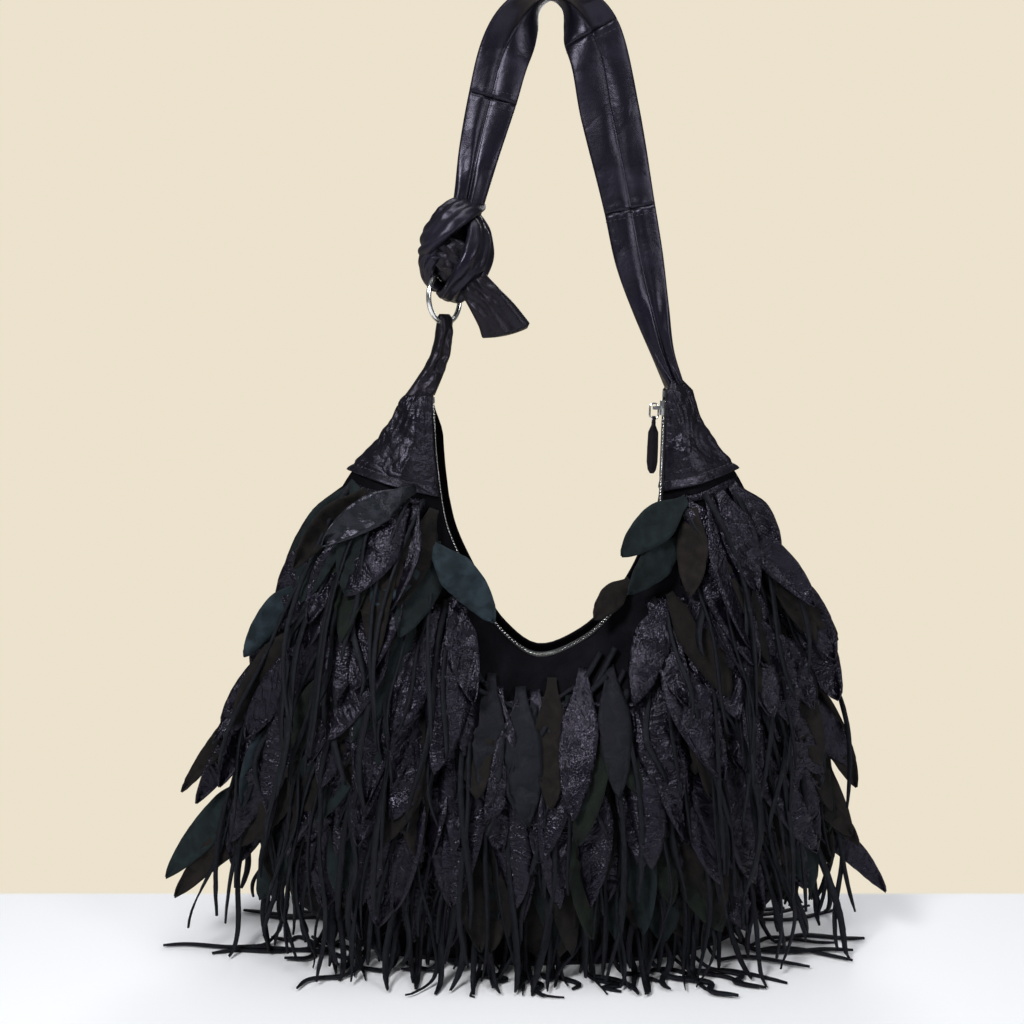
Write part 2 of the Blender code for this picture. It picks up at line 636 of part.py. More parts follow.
def make_tab(material):
    """Gathered leather tab from the left cap up to the ring, with an eye that the ring turns in."""
    foot_z = MOUTH_POINTS[0, 1] + GAP
    eye_z = RING_CENTRE[2] - RING_RADIUS
    top_z = eye_z + RING_WIRE + RING_CLEARANCE + TAB_WALL
    middle_x = (MOUTH_POINTS[0, 0] + LEFT_SIDE[0, 0]) / 2
    eye_x = RING_CENTRE[0]
    rings = []
    for share, width, depth in zip(TAB_SHARES, TAB_WIDTHS, TAB_DEPTHS):
        risen = min(1.0, share / TAB_EYE_SHARE)
        turn = RING_TURN * risen
        way = np.array([math.cos(turn), math.sin(turn), 0.0])
        lean = math.sin(risen * math.pi / 2)
        centre = np.array([middle_x + (eye_x - middle_x) * lean, 0.0, foot_z + (top_z - foot_z) * share])
        face_way = np.cross([0.0, 0.0, 1.0], way)
        rings.append(section(centre, way, face_way, width, depth, STRAP_SIDES, TAB_FOLD))
    body = combine(loft(rings), ring_room(), "DIFFERENCE")
    return add_object("ring_tab", body, material)


def strap_route():
    """Strap's middle line with its width and thickness, then the directions of its width and its face.

    The width lies in the plane of the loop, turned towards Y over the top.
    """
    scale = np.array([MM, MM, MM, MM, MM, 1.0])
    route = spline(STRAP_ROUTE * scale, 400)
    along = unit(np.gradient(route[:, :3], axis=0))
    flat = unit(np.cross(ACROSS, along))
    turn = np.radians(route[:, 5:6])
    width_way = unit(np.cos(turn) * flat + np.sin(turn) * ACROSS)
    return np.hstack([route[:, :5], width_way, np.cross(along, width_way)])


def strap_rings(route):
    """Sections along a stretch of strap."""
    return [
        section(row[:3], row[5:8], row[8:11], row[3], row[4], STRAP_SIDES, STRAP_FOLD)
        for row in route
    ]


def stretch(route, start, end):
    """Part of the strap between two distances along it."""
    count = max(4, round((end - start) / STRAP_STEP) + 1)
    return resample(route, np.linspace(start, end, count))


def seam_places(route):
    """Distances along the strap of its ends and its three seams, found by their heights."""
    run = run_length(route[:, :3])
    top = int(np.argmax(route[:, 2]))
    left = np.interp(LEFT_SEAM_Z, route[:top, 2], run[:top])
    right = [np.interp(z, route[:top:-1, 2], run[:top:-1]) for z in (TOP_SEAM_Z, SHOULDER_SEAM_Z)]
    return [0.0, left, right[0], right[1], run[-1]]


def band(rows, facing=None):
    """Flattened band along a few points. It faces away from the knot's core, or one given way."""
    scale = np.array(rows, float) * MM
    route = spline(scale, len(rows) + 3)
    path = route[:, :3]
    along = unit(np.gradient(path, axis=0))
    face = path - KNOT_CORE if facing is None else np.tile(facing, (len(path), 1))
    face = unit(face - (face * along).sum(-1, keepdims=True) * along)
    width_way = np.cross(along, face)
    return loft([
        section(p, w, f, row[3], row[4], BAND_SIDES)
        for p, w, f, row in zip(path, width_way, face, route)
    ])


def knot_core():
    """Rounded middle of the knot, where the strap's turns press together."""
    angles = np.linspace(0.0, 2 * math.pi, KNOT_SIDES, endpoint=False)
    rings = []
    for tilt in KNOT_RING_TILTS:
        ring = np.stack([np.cos(angles) * math.cos(tilt), np.sin(angles) * math.cos(tilt),
                         np.full(KNOT_SIDES, math.sin(tilt))], axis=-1)
        rings.append(KNOT_CORE + ring * KNOT_RADII)
    return loft(rings)


def make_strap(material):
    """Strap in four sewn lengths. The first holds the knot and its tail, and the ring runs through it."""
    route = strap_route()
    places = seam_places(route)
    names = ("strap_knotted_length", "strap_top_length", "strap_shoulder_length", "strap_sewn_length")
    for name, start, end in zip(names, places, places[1:]):
        start = start + GAP / 2 if start > 0.0 else start
        end = end - GAP / 2 if end < places[-1] else end
        mesh = loft(strap_rings(stretch(route, start, end)))
        if name == names[0]:
            for piece in (knot_core(), band(UPPER_BAND), band(SIDE_LOBE), band(TAIL, (0.0, -1.0, 0.0)),
                          band(FRONT_BAND)):
                mesh = combine(mesh, piece, "UNION")
            mesh = combine(mesh, ring_room(), "DIFFERENCE")
        add_object(name, mesh, material)


def row_height(x, level):
    """Height of a fringe row's header: level in the middle, rising towards the side seams."""
    return level + ROW_RISE * np.maximum(np.abs(x) - ROW_FLAT, 0.0)


def row_spans(level, clear):
    """Stretches of x that a row covers: all across, or one on each horn where the mouth parts it."""
    x = np.arange(LEFT_SIDE[:, 0].min(), RIGHT_SIDE[:, 0].max(), MM)
    z = row_height(x, level) + HEADER_HEIGHT
    left, right = side_x(z)
    covered = (mouth_distance(x, z) > clear) & (x > left + SIDE_CLEAR) & (x < right - SIDE_CLEAR)
    edges = np.flatnonzero(np.diff(np.concatenate([[0], covered.astype(int), [0]])))
    spans = [(x[a], x[b - 1]) for a, b in zip(edges[::2], edges[1::2])]
    return [span for span in spans if span[1] - span[0] > LEAF_PITCH]


class Row:
    """One fringe row: a header band and the strips that hang from it, collected as points and faces.

    Each point is x, height, distance outside the body, and a fixed depth where it lies on the floor.
    """

    def __init__(self, level):
        self.level = level
        self.points = []
        self.faces = []
        self.rings = []

    def add(self, x, z, outside, depth=math.nan):
        lift = FRINGE_SKIN + FRINGE_SLOPE * max(0.0, float(row_height(x, self.level)) - z)
        self.points.append((x, z, outside + lift, depth))
        return len(self.points) - 1

    def add_ring(self, places, outside, ridge):
        """Three-cornered ring of a strip: its two edges, and the ridge that stands over their chord."""
        edges = [self.add(x, z, outside) for x, z in places]
        x, z = np.mean(places, axis=0)
        middle = self.add(x, z, outside + ridge)
        self.rings.append((*edges, middle, ridge))
        return (*edges, middle)

    def mesh(self, side):
        data = np.array(self.points)
        depth = body_depth(data[:, 0], data[:, 1]) + data[:, 2]
        depth = np.where(np.isnan(data[:, 3]), depth, data[:, 3])
        for left, right, middle, ridge in self.rings:
            depth[middle] = max(depth[middle], (depth[left] + depth[right]) / 2 + ridge)
        faces = [part for corners, way in self.faces for part in self.split(corners, way, depth)]
        return closed_mesh(np.stack([data[:, 0], side * depth, data[:, 1]], axis=-1), faces)

    @staticmethod
    def split(corners, way, depth):
        """Triangles of a face: a twisted face of the front (1) bulges out, one of the back (-1) bulges in."""
        if len(corners) == 3:
            return [corners]
        a, b, c, d = corners
        if way * (depth[a] + depth[c]) > way * (depth[b] + depth[d]):
            return [(a, b, c), (a, c, d)]
        return [(a, b, d), (b, c, d)]


def add_header(row, columns):
    """Header band through the given x places, stitched down close to the panel at both ends.

    Two places at each end carry no strip; the rest are the roots' left and right sides in turn. Returns the
    lower front and back corners of each root's two sides. Over the low rows the panel's flat facets lie
    inside its true curve, so the seat is measured from inside it too.
    """
    half = HEADER_THICKNESS / 2
    seat = SEAT_GAP if row.level > LOWER_LEVELS[-1] else LOW_SEAT_GAP
    stitched = seat + half - FRINGE_SKIN
    corners = []
    for x in columns:
        z = float(row_height(x, row.level))
        off = stitched if x in (columns[0], columns[-1]) else 0.0
        if x in (columns[1], columns[-2]):
            off = stitched / 2
        corners.append((row.add(x, z, off + half), row.add(x, z, off - half),
                        row.add(x, z + HEADER_HEIGHT, off + half), row.add(x, z + HEADER_HEIGHT, off - half)))
    for k, ((a, b, c, d), (e, f, g, h)) in enumerate(zip(corners, corners[1:])):
        row.faces += [((a, e, g, c), 1), ((b, d, h, f), -1), ((c, g, h, d), 1)]
        if k % 2 or k in (0, len(corners) - 2):
            row.faces.append(((a, b, f, e), 1))
    for a, b, c, d in (corners[0], corners[-1]):
        row.faces.append(((a, b, d, c), 1))
    return [(left[:2], right[:2]) for left, right in zip(corners[2:-2:2], corners[3:-2:2])]


def add_strip(row, root, rings):
    """Strip with a ridge down its middle, from a header's lower corners through rings to its tip."""
    (front_left, back_left), (front_right, back_right) = root
    left, right, middle = rings[0]
    row.faces += [
        ((back_left, back_right, right, left), -1), ((front_left, front_right, middle), 1),
        ((front_left, middle, left), 1), ((front_right, right, middle), 1),
        ((back_left, left, front_left), 1), ((back_right, front_right, right), 1),
    ]
    for (a, b, c), (d, e, f) in zip(rings, rings[1:]):
        row.faces += [((a, b, e, d), -1), ((a, d, f, c), 1), ((b, c, f, e), 1)]
    row.faces.append((rings[-1], 1))


def strip_rings(row, x, level, width, length, angle, layer, profile):
    """Rings of a hanging strip: it leaves its header at an angle and falls back towards upright."""
    rings = []
    for share, wide in profile:
        reach = share * length
        turn = angle * (1.0 - STRAIGHTENING * share)
        mid_x = x + math.sin(turn) * reach
        mid_z = level - math.cos(turn) * reach
        half = wide * width / 2
        side_way = (math.cos(turn), math.sin(turn))
        outside = layer * FRINGE_LAYER * min(1.0, reach / HEADER_HEIGHT / 2)
        places = [(mid_x + s * half * side_way[0], mid_z + s * half * side_way[1]) for s in (-1, 1)]
        rings.append(row.add_ring(places, outside, LEAF_RIDGE * (0.4 + 0.6 * wide)))
    return rings


LEAF_PROFILE = ((0.18, 0.68), (0.5, 1.0), (0.8, 0.8), (1.0, 0.14))
LACE_PROFILE = ((0.12, 1.0), (0.42, 0.9), (0.72, 1.0), (1.0, 0.8))


def strip_angle(x, level):
    """Fan of the strips: outwards at the sides, less so on the lower rows."""
    share = np.clip((abs(x) - FAN_START) / FAN_SPAN, -0.2, 1.0)
    fade = 0.75 + 0.25 * level / HORN_LEVELS[0]
    return math.copysign(1.0, x) * FAN_ANGLE * share * fade


def root_columns(roots, widths, start, end):
    """Places of a header's columns: two at each end, and the two sides of each strip's root."""
    sides = np.stack([roots - widths / 2, roots + widths / 2], axis=-1).ravel()
    return [start, (start + sides[0]) / 2, *sides, (sides[-1] + end) / 2, end]


def make_row(name, side, level, span, seed, material):
    """Fringe row of leaves, with a lace here and there."""
    random = np.random.default_rng(seed)
    start, end = span
    count = max(2, round((end - start) / LEAF_PITCH))
    pitch = (end - start) / count
    places = np.arange(count) + 0.5 + random.uniform(-ROOT_JITTER, ROOT_JITTER, count)
    roots = start + places * pitch
    lace = random.random(count) < LACE_SHARE
    root_widths = np.where(lace, LACE_WIDTH, LEAF_WIDTH * ROOT_WIDTH_SHARE)
    row = Row(level)
    sides = add_header(row, root_columns(roots, root_widths, start, end))
    for k in range(count):
        foot = float(row_height(roots[k], level))
        angle = strip_angle(roots[k], level) + random.uniform(-ANGLE_JITTER, ANGLE_JITTER)
        room = (foot - TIP_HEIGHT) / math.cos(angle * (1.0 - STRAIGHTENING))
        length = random.uniform(*(LACE_LENGTHS if lace[k] else LEAF_LENGTHS))
        width = LACE_WIDTH if lace[k] else LEAF_WIDTH * random.uniform(0.8, 1.05)
        profile = LACE_PROFILE if lace[k] else LEAF_PROFILE
        rings = strip_rings(row, roots[k], foot, width, min(length, room), angle, k % 2, profile)
        add_strip(row, sides[k], rings)
    return add_object(name, row.mesh(side), material)


def floor_rings(row, x, level, floor_end):
    """Rings of a lace that falls from the hem row, bends and runs out over the floor to its end."""
    half = LACE_WIDTH / 2
    rings = []
    for z in (level * 0.72, level * 0.42, FLOOR_LACE_BEND):
        rings.append(row.add_ring([(x - half, z), (x + half, z)], 0.0, LEAF_RIDGE))
    foot = float(body_depth(np.array([x]), np.array([FLOOR_LACE_BEND]))[0])
    foot += FRINGE_SKIN + FRINGE_SLOPE * (level - FLOOR_LACE_BEND)
    start = np.array([x, foot])
    run = float(np.linalg.norm(floor_end - start))
    way = unit(floor_end - start)
    square = np.array([way[1], -way[0]])
    low = FLOOR_LACE_HEIGHT - LEAF_RIDGE / 2
    for share in (0.1, 0.4, 0.7, 1.0):
        mid = start + (floor_end - start) * share
        mid[1] += FLOOR_LACE_BOW * run * math.sin(math.pi * share)
        across = unit(square * share + np.array([1.0, 0.0]) * (1.0 - share)) * half
        rings.append((row.add(mid[0] - across[0], low, 0.0, mid[1] - across[1]),
                      row.add(mid[0] + across[0], low, 0.0, mid[1] + across[1]),
                      row.add(mid[0], low + LEAF_RIDGE, 0.0, mid[1])))
    return rings


def make_hem_laces(name, side, floor_ends, material):
    """Lowest row: laces only, every other one long enough to lie on the floor."""
    start, end = row_spans(HEM_LEVEL, MOUTH_CLEAR)[0]
    count = 2 * len(floor_ends) + 1
    pitch = (end - start) / count
    roots = start + (np.arange(count) + 0.5) * pitch
    row = Row(HEM_LEVEL)
    sides = add_header(row, root_columns(roots, np.full(count, LACE_WIDTH), start, end))
    for k in range(count):
        foot = float(row_height(roots[k], HEM_LEVEL))
        if k % 2:
            rings = floor_rings(row, roots[k], foot, floor_ends[k // 2])
        else:
            angle = strip_angle(roots[k], HEM_LEVEL) * 0.6
            length = (foot - TIP_HEIGHT) / math.cos(angle)
            rings = strip_rings(row, roots[k], foot, LACE_WIDTH, length, angle, 0, LACE_PROFILE)
        add_strip(row, sides[k], rings)
    return add_object(name, row.mesh(side), material)


def make_fringe(materials):
    """Rows of fringe on both panels: parted by the mouth above, all across below it."""
    for face, side in (("front", -1), ("back", 1)):
        seed = 1
        for k, level in enumerate(HORN_LEVELS):
            clear = PLAIN_BAND if level == HORN_LEVELS[-1] else MOUTH_CLEAR
            for where, span in zip(("left", "right"), row_spans(level, clear)):
                make_row(f"{face}_fringe_{where}_{k + 1}", side, level, span, seed, materials[seed % 3])
                seed += 1
        for k, level in enumerate(LOWER_LEVELS):
            span = row_spans(level, MOUTH_CLEAR)[0]
            make_row(f"{face}_fringe_lower_{k + 1}", side, level, span, seed, materials[seed % 3])
            seed += 1
        floor_ends = FRONT_FLOOR_ENDS if side < 0 else BACK_FLOOR_ENDS
        make_hem_laces(f"{face}_fringe_hem_laces", side, floor_ends, materials[1])


def make_bag():
    clear_scene()
    nappa = finish("strap_nappa", "2b2a36", 0.42)
    crinkled = finish("crinkled_leather", "1e1b26", 0.38)
    slate_suede = finish("slate_suede", "26343c", 0.85)
    brown_suede = finish("brown_black_suede", "2a2423", 0.85)
    tape = finish("zip_tape", "16161a", 0.9)
    metal = finish("bright_nickel", "c8c8c8", 0.2, 1.0)
    make_panel("front_panel", -1, crinkled)
    make_panel("back_panel", 1, crinkled)
    make_base(crinkled)
    make_cap("left_cap", range(CAP_STATIONS), crinkled)
    make_cap("right_cap", range(len(MOUTH_ENDS) - CAP_STATIONS, len(MOUTH_ENDS)), crinkled)
    make_zip(tape, metal)
    make_slider(metal)
    make_link(metal)
    make_pull(nappa)
    add_object("o_ring", ring_mesh(RING_WIRE, 32, 8), metal, RING_CENTRE)
    make_tab(nappa)
    make_strap(nappa)
    make_fringe((crinkled, brown_suede, slate_suede))


make_bag()
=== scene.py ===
# %% [markdown]
# The looks of a fringed leather shoulder bag: a slouchy body with a zipped mouth, crinkled caps on its two
# horns, a knotted strap on a ring, and rows of leather leaves and laces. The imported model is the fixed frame.
# Each new piece is a surface worked out with numpy in the frame's own metres, so it lies where it should.

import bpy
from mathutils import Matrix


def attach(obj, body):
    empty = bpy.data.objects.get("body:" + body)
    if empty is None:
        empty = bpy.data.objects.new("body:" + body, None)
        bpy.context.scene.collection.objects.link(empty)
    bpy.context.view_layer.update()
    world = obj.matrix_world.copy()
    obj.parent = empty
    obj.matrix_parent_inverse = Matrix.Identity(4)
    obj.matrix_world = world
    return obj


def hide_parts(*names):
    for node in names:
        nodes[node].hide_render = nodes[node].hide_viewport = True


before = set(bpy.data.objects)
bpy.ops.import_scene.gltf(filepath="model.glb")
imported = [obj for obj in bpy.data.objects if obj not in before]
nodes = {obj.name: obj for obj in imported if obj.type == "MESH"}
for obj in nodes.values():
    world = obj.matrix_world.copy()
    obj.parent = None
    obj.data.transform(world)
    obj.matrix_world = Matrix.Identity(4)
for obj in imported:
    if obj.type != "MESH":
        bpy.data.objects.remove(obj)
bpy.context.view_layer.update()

# %% Modules and units
import math

import bpy
import numpy as np
from mathutils import Vector

MM = 0.001

# %% [markdown]
# The camera comes first, because every surface is judged from it. It stands a little left of the middle of
# the bag, near the height of the zip slider, and looks down by eight degrees, as the photographer did.

# %% Camera
camera_data = bpy.data.cameras.new("camera")
camera_data.sensor_width = 36.0
camera_data.lens = 40.7
camera = bpy.data.objects.new("camera", camera_data)
camera.location = (-0.02, -0.81, 0.432)
camera.rotation_euler = (math.radians(82.0), 0.0, 0.0)
bpy.context.scene.collection.objects.link(camera)
bpy.context.scene.camera = camera
print("camera at", tuple(camera.location))


# %% [markdown]
# Curves. The mouth, the side seams and the strap are smooth curves through a few points. A cubic through the
# points, with slopes taken from their neighbours, is simple and passes through every one of them.

# %% Curve helpers
def unit(vectors):
    return vectors / np.linalg.norm(vectors, axis=-1, keepdims=True)


def run_length(points):
    steps = np.linalg.norm(np.diff(points, axis=0), axis=1)
    return np.concatenate([[0.0], np.cumsum(steps)])


def resample(curve, places, axes=3):
    """Points of a fine curve at the given distances along it."""
    run = run_length(curve[:, :axes])
    return np.stack([np.interp(places, run, column) for column in curve.T], axis=-1)


def spline(points, count, axes=3, end_slope=None):
    """Cubic through points: h(u) blends each pair of points and their slopes. Read at even distances."""
    points = np.asarray(points, float)
    length = run_length(points[:, :axes])
    slope = np.gradient(points, length, axis=0)
    if end_slope is not None:
        slope[-1] = end_slope
    fine = np.linspace(0.0, length[-1], 30 * len(points))
    i = np.clip(np.searchsorted(length, fine, side="right") - 1, 0, len(points) - 2)
    span = (length[i + 1] - length[i])[:, None]
    u = (fine - length[i])[:, None] / span
    curve = (2 * u**3 - 3 * u**2 + 1) * points[i] + (3 * u**2 - 2 * u**3) * points[i + 1]
    curve += span * ((u**3 - 2 * u**2 + u) * slope[i] + (u**3 - u**2) * slope[i + 1])
    return resample(curve, np.linspace(0.0, run_length(curve[:, :axes])[-1], count), axes)


def smooth_step(value, low, high):
    """0 below low, 1 above high, and 3u^2 - 2u^3 between."""
    u = np.clip((value - low) / (high - low), 0.0, 1.0)
    return u * u * (3.0 - 2.0 * u)


def ripple(places, size, seed, terms=9):
    """Soft crumple between -1 and 1: a sum of sine waves of about one size, in seeded directions."""
    random = np.random.default_rng(seed)
    total = np.zeros(places.shape[:-1])
    for _ in range(terms):
        way = random.normal(size=places.shape[-1])
        way *= 2 * math.pi / (size * random.uniform(0.7, 1.5) * np.linalg.norm(way))
        total += np.sin(places @ way + random.uniform(0.0, 2 * math.pi))
    return total / math.sqrt(terms)


# %% [markdown]
# Meshes. Two kinds of grid make every piece here. A slab has a front and a back grid joined round the rim:
# leaves, laces, panels and tape. A tube has closed rings and two end faces: the strap, the knot and the ring.

# %% Slabs and tubes
def slab_quads(rows, columns):
    """Quads of a closed slab whose front grid's points come first and whose back grid's points follow."""
    index = np.arange(rows * columns).reshape(rows, columns)
    back = index + rows * columns
    front_quads = np.stack([index[:-1, :-1], index[1:, :-1], index[1:, 1:], index[:-1, 1:]], -1)
    front_quads = front_quads.reshape(-1, 4)
    back_quads = front_quads[:, ::-1] + rows * columns
    rims = []
    for line, under in ((index[:, 0], back[:, 0]), (index[-1], back[-1]),
                        (index[::-1, -1], back[::-1, -1]), (index[0, ::-1], back[0, ::-1])):
        rims.append(np.stack([line[1:], line[:-1], under[:-1], under[1:]], -1))
    return np.concatenate([front_quads, back_quads, *rims])


def tube_quads(rows, sides, closed=False):
    """Quads of a tube of rings. An open tube's ends are filled with strips of quads, so sides is even."""
    index = np.arange(rows * sides).reshape(rows, sides)
    ahead = np.roll(index, -1, axis=1)
    following = np.roll(index, -1, axis=0)
    wall = np.stack([index, ahead, np.roll(following, -1, axis=1), following], -1)
    if closed:
        return wall.reshape(-1, 4)
    j = np.arange(sides // 2 - 1)
    cap = np.stack([j, sides - 1 - j, sides - 2 - j, j + 1], -1)
    return np.concatenate([wall[:-1].reshape(-1, 4), cap, cap[:, ::-1] + (rows - 1) * sides])


def outward(points, quads):
    """Faces turned round where the volume that they enclose is negative."""
    a, b, c, d = (points[quads[:, k]] for k in range(4))
    volume = (np.cross(b - a, c - a) * a).sum() + (np.cross(c - a, d - a) * a).sum()
    return quads if volume > 0 else quads[:, ::-1]


def slab(front, back):
    """Closed slab from a front and a back grid: points and quads."""
    points = np.concatenate([front.reshape(-1, 3), back.reshape(-1, 3)])
    return points, outward(points, slab_quads(*front.shape[:2]))


def tube(rings, closed=False):
    """Closed tube through rings of points: points and quads."""
    points = rings.reshape(-1, 3)
    return points, outward(points, tube_quads(rings.shape[0], rings.shape[1], closed))


def repeated(quads, count, size):
    """The same quads for so many copies, whose points follow one another in groups of one size."""
    return (quads[None] + (np.arange(count) * size)[:, None, None]).reshape(-1, 4)


def new_piece(name, parts, finishes, body, replaced=(), tones=None, cuts=None):
    """One object from several parts, each its points, its quads and its finish's number.

    The tone attribute is each strip's own shade, and cut is each point's place in the hide it was cut from.
    """
    points = np.concatenate([part[0] for part in parts])
    starts = np.cumsum([0] + [len(part[0]) for part in parts[:-1]])
    quads = np.concatenate([part[1] + start for part, start in zip(parts, starts)])
    finish = np.concatenate([np.full(len(part[1]), part[2] if len(part) > 2 else 0) for part in parts])
    mesh = bpy.data.meshes.new(name)
    mesh.vertices.add(len(points))
    mesh.vertices.foreach_set("co", points.astype(np.float32).ravel())
    mesh.loops.add(quads.size)
    mesh.loops.foreach_set("vertex_index", quads.astype(np.int32).ravel())
    mesh.polygons.add(len(quads))
    mesh.polygons.foreach_set("loop_start", np.arange(0, quads.size, 4, dtype=np.int32))
    for material in finishes:
        mesh.materials.append(material)
    mesh.polygons.foreach_set("material_index", finish.astype(np.int32))
    mesh.update(calc_edges=True)
    mesh.shade_smooth()
    if tones is not None:
        mesh.attributes.new("tone", "FLOAT", "POINT").data.foreach_set("value", tones.astype(np.float32))
    cuts = points[:, [2, 0, 1]] if cuts is None else cuts
    cut = mesh.attributes.new("cut", "FLOAT_VECTOR", "POINT")
    cut.data.foreach_set("vector", cuts.astype(np.float32).ravel())
    mesh.validate()
    piece = bpy.data.objects.new(name, mesh)
    bpy.context.scene.collection.objects.link(piece)
    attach(piece, body)
    if replaced:
        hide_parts(*replaced)
    print(name, len(quads), "quads")
    return piece


# %% [markdown]
# Finishes. Most leaves and the base are a glossy crinkled lambskin, the caps are gathered from the same hide,
# and the body behind them is plain and matt. The strap is a smoother nappa. Some leaves are suede in slate,
# teal, brown and green near black, and the laces are matt. The zip has woven tape and bright nickel. Each has
# its grain at its real size, from noise and cell patterns on Object coordinates. Ribs follow a leaf's cut.

# %% Node helper and colours
def linear(colour):
    """sRGB hex colour as linear levels."""
    levels = [int(colour[i:i + 2], 16) / 255.0 for i in (0, 2, 4)]
    return (*[c / 12.92 if c <= 0.04045 else ((c + 0.055) / 1.055) ** 2.4 for c in levels], 1.0)


def add_node(tree, kind, inputs=None, **settings):
    """One node with its settings, and each input set to a value or linked to a socket."""
    node = tree.nodes.new(kind)
    for key, value in settings.items():
        setattr(node, key, value)
    for key, value in (inputs or {}).items():
        if isinstance(value, bpy.types.NodeSocket):
            tree.links.new(value, node.inputs[key])
        else:
            node.inputs[key].default_value = value
    return node


def new_finish(name, roughness, **uniform):
    """Principled material with its even values on the shader's own sockets."""
    material = bpy.data.materials.new(name)
    material.use_nodes = True
    shader = material.node_tree.nodes["Principled BSDF"]
    shader.inputs["Roughness"].default_value = roughness
    for key, value in uniform.items():
        shader.inputs[key.replace("_", " ")].default_value = value
    return material, material.node_tree, shader


def blend_colours(tree, factor, dark, light):
    """Two colours mixed by a factor."""
    mix = add_node(tree, "ShaderNodeMix", data_type="RGBA")
    tree.links.new(factor, mix.inputs["Factor"])
    for key, value in (("A", dark), ("B", light)):
        socket = [s for s in mix.inputs if s.name == key and s.type == "RGBA"][0]
        if isinstance(value, bpy.types.NodeSocket):
            tree.links.new(value, socket)
        else:
            socket.default_value = linear(value)
    return [s for s in mix.outputs if s.type == "RGBA"][0]


# A strip whose tone is 1 is lighter by this share
TONE_STRENGTH = 0.5


def toned(tree, colour):
    """Colour made lighter or darker by the piece's own tone attribute, from leaf to leaf."""
    tone = add_node(tree, "ShaderNodeAttribute", attribute_name="tone")
    gain = add_node(tree, "ShaderNodeMath", {0: tone.outputs["Fac"], 1: TONE_STRENGTH}, operation="MULTIPLY")
    level = add_node(tree, "ShaderNodeMath", {0: gain.outputs[0], 1: 1.0}, operation="ADD")
    return add_node(tree, "ShaderNodeHueSaturation", {"Color": colour, "Value": level.outputs[0]}).outputs[0]


# %% Crinkled and smooth leather
# Black hide gleams a little violet
HIDE_GLEAM = "d6d0ea"
# A crease stands about an eighth as high as its noise could, so its bump is set eight times higher
CREASE_GAIN = 8.0
# Ribs stand about 4 mm apart and run about 15 mm, so the noise is drawn out four times across the cut
RIB_SCALE = (1.0 / (3.6 * MM), 1.0 / (15.0 * MM), 1.0 / (9.0 * MM))


def leather(name, dark, light, grain, crease, grain_depth, crease_depth, roughness, ribs=0.0, **uniform):
    """Leather: fine cells of one grain size over soft creases of another, and parallel ribs that follow each
    piece's own cut. The two sizes and the three depths are in millimetres."""
    material, tree, shader = new_finish(name, roughness, **uniform)
    shader.inputs["Specular Tint"].default_value = linear(HIDE_GLEAM)
    coords = add_node(tree, "ShaderNodeTexCoord").outputs["Object"]
    creases = add_node(tree, "ShaderNodeTexNoise", {"Vector": coords, "Scale": 1.0 / (crease * MM),
                                                    "Detail": 4.0, "Roughness": 0.5, "Distortion": 0.35})
    cells = add_node(tree, "ShaderNodeTexVoronoi", {"Vector": coords, "Scale": 1.0 / (grain * MM)},
                     feature="DISTANCE_TO_EDGE")
    fold = add_node(tree, "ShaderNodeMath", {0: creases.outputs["Fac"], 1: 0.5}, operation="SUBTRACT")
    ridge = add_node(tree, "ShaderNodeMath", {0: fold.outputs[0]}, operation="ABSOLUTE")
    plateau = add_node(tree, "ShaderNodeMapRange", {"Value": cells.outputs["Distance"], "From Max": 0.22})
    normal = add_node(tree, "ShaderNodeBump", {"Height": ridge.outputs[0], "Strength": 1.0,
                                               "Distance": crease_depth * MM * CREASE_GAIN})
    if ribs:
        cut = add_node(tree, "ShaderNodeAttribute", attribute_name="cut")
        drawn = add_node(tree, "ShaderNodeMapping", {"Vector": cut.outputs["Vector"], "Scale": RIB_SCALE})
        rib = add_node(tree, "ShaderNodeTexNoise", {"Vector": drawn.outputs[0], "Scale": 1.0, "Detail": 3.0,
                                                    "Roughness": 0.45, "Distortion": 0.6})
        normal = add_node(tree, "ShaderNodeBump", {"Height": rib.outputs["Fac"], "Strength": 1.0,
                                                   "Distance": ribs * MM, "Normal": normal.outputs[0]})
    fine = add_node(tree, "ShaderNodeBump", {"Height": plateau.outputs[0], "Strength": 1.0,
                                             "Distance": grain_depth * MM, "Normal": normal.outputs[0]})
    # Colour follows the crease height: darker down in the creases as painted shade, and lighter on the raised
    # folds as wear.
    crease_shade_and_wear = add_node(tree, "ShaderNodeMapRange", {"Value": ridge.outputs[0], "From Max": 0.3})
    base = blend_colours(tree, crease_shade_and_wear.outputs[0], dark, light)
    tree.links.new(toned(tree, base), shader.inputs["Base Color"])
    matt = add_node(tree, "ShaderNodeMapRange", {"Value": creases.outputs["Fac"], "From Min": 0.3,
                                                 "From Max": 0.7, "To Min": roughness - 0.09,
                                                 "To Max": roughness + 0.1})
    tree.links.new(matt.outputs[0], shader.inputs["Roughness"])
    tree.links.new(fine.outputs[0], shader.inputs["Normal"])
    return material


# Washed lambskin: glossy and ribbed, so its creases break the light into small bright folds
crinkled = leather("crinkled_lambskin", "050408", "110e17", grain=1.7, crease=15.0, grain_depth=0.1,
                   crease_depth=0.4, ribs=1.3, roughness=0.27, Specular_IOR_Level=0.34)
# Cap leather: the same hide with fainter ribs, gathered into soft folds
gathered = leather("gathered_cap_leather", "060509", "131018", grain=1.4, crease=20.0, grain_depth=0.05,
                   crease_depth=0.5, ribs=0.5, roughness=0.34, Specular_IOR_Level=0.38)
# Slick leather: grey-black with faint ribs, on one of the top leaves
slick = leather("slick_grey_leather", "0b0f10", "1b2123", grain=1.2, crease=20.0, grain_depth=0.04,
                crease_depth=0.4, ribs=0.4, roughness=0.36, Specular_IOR_Level=0.45)
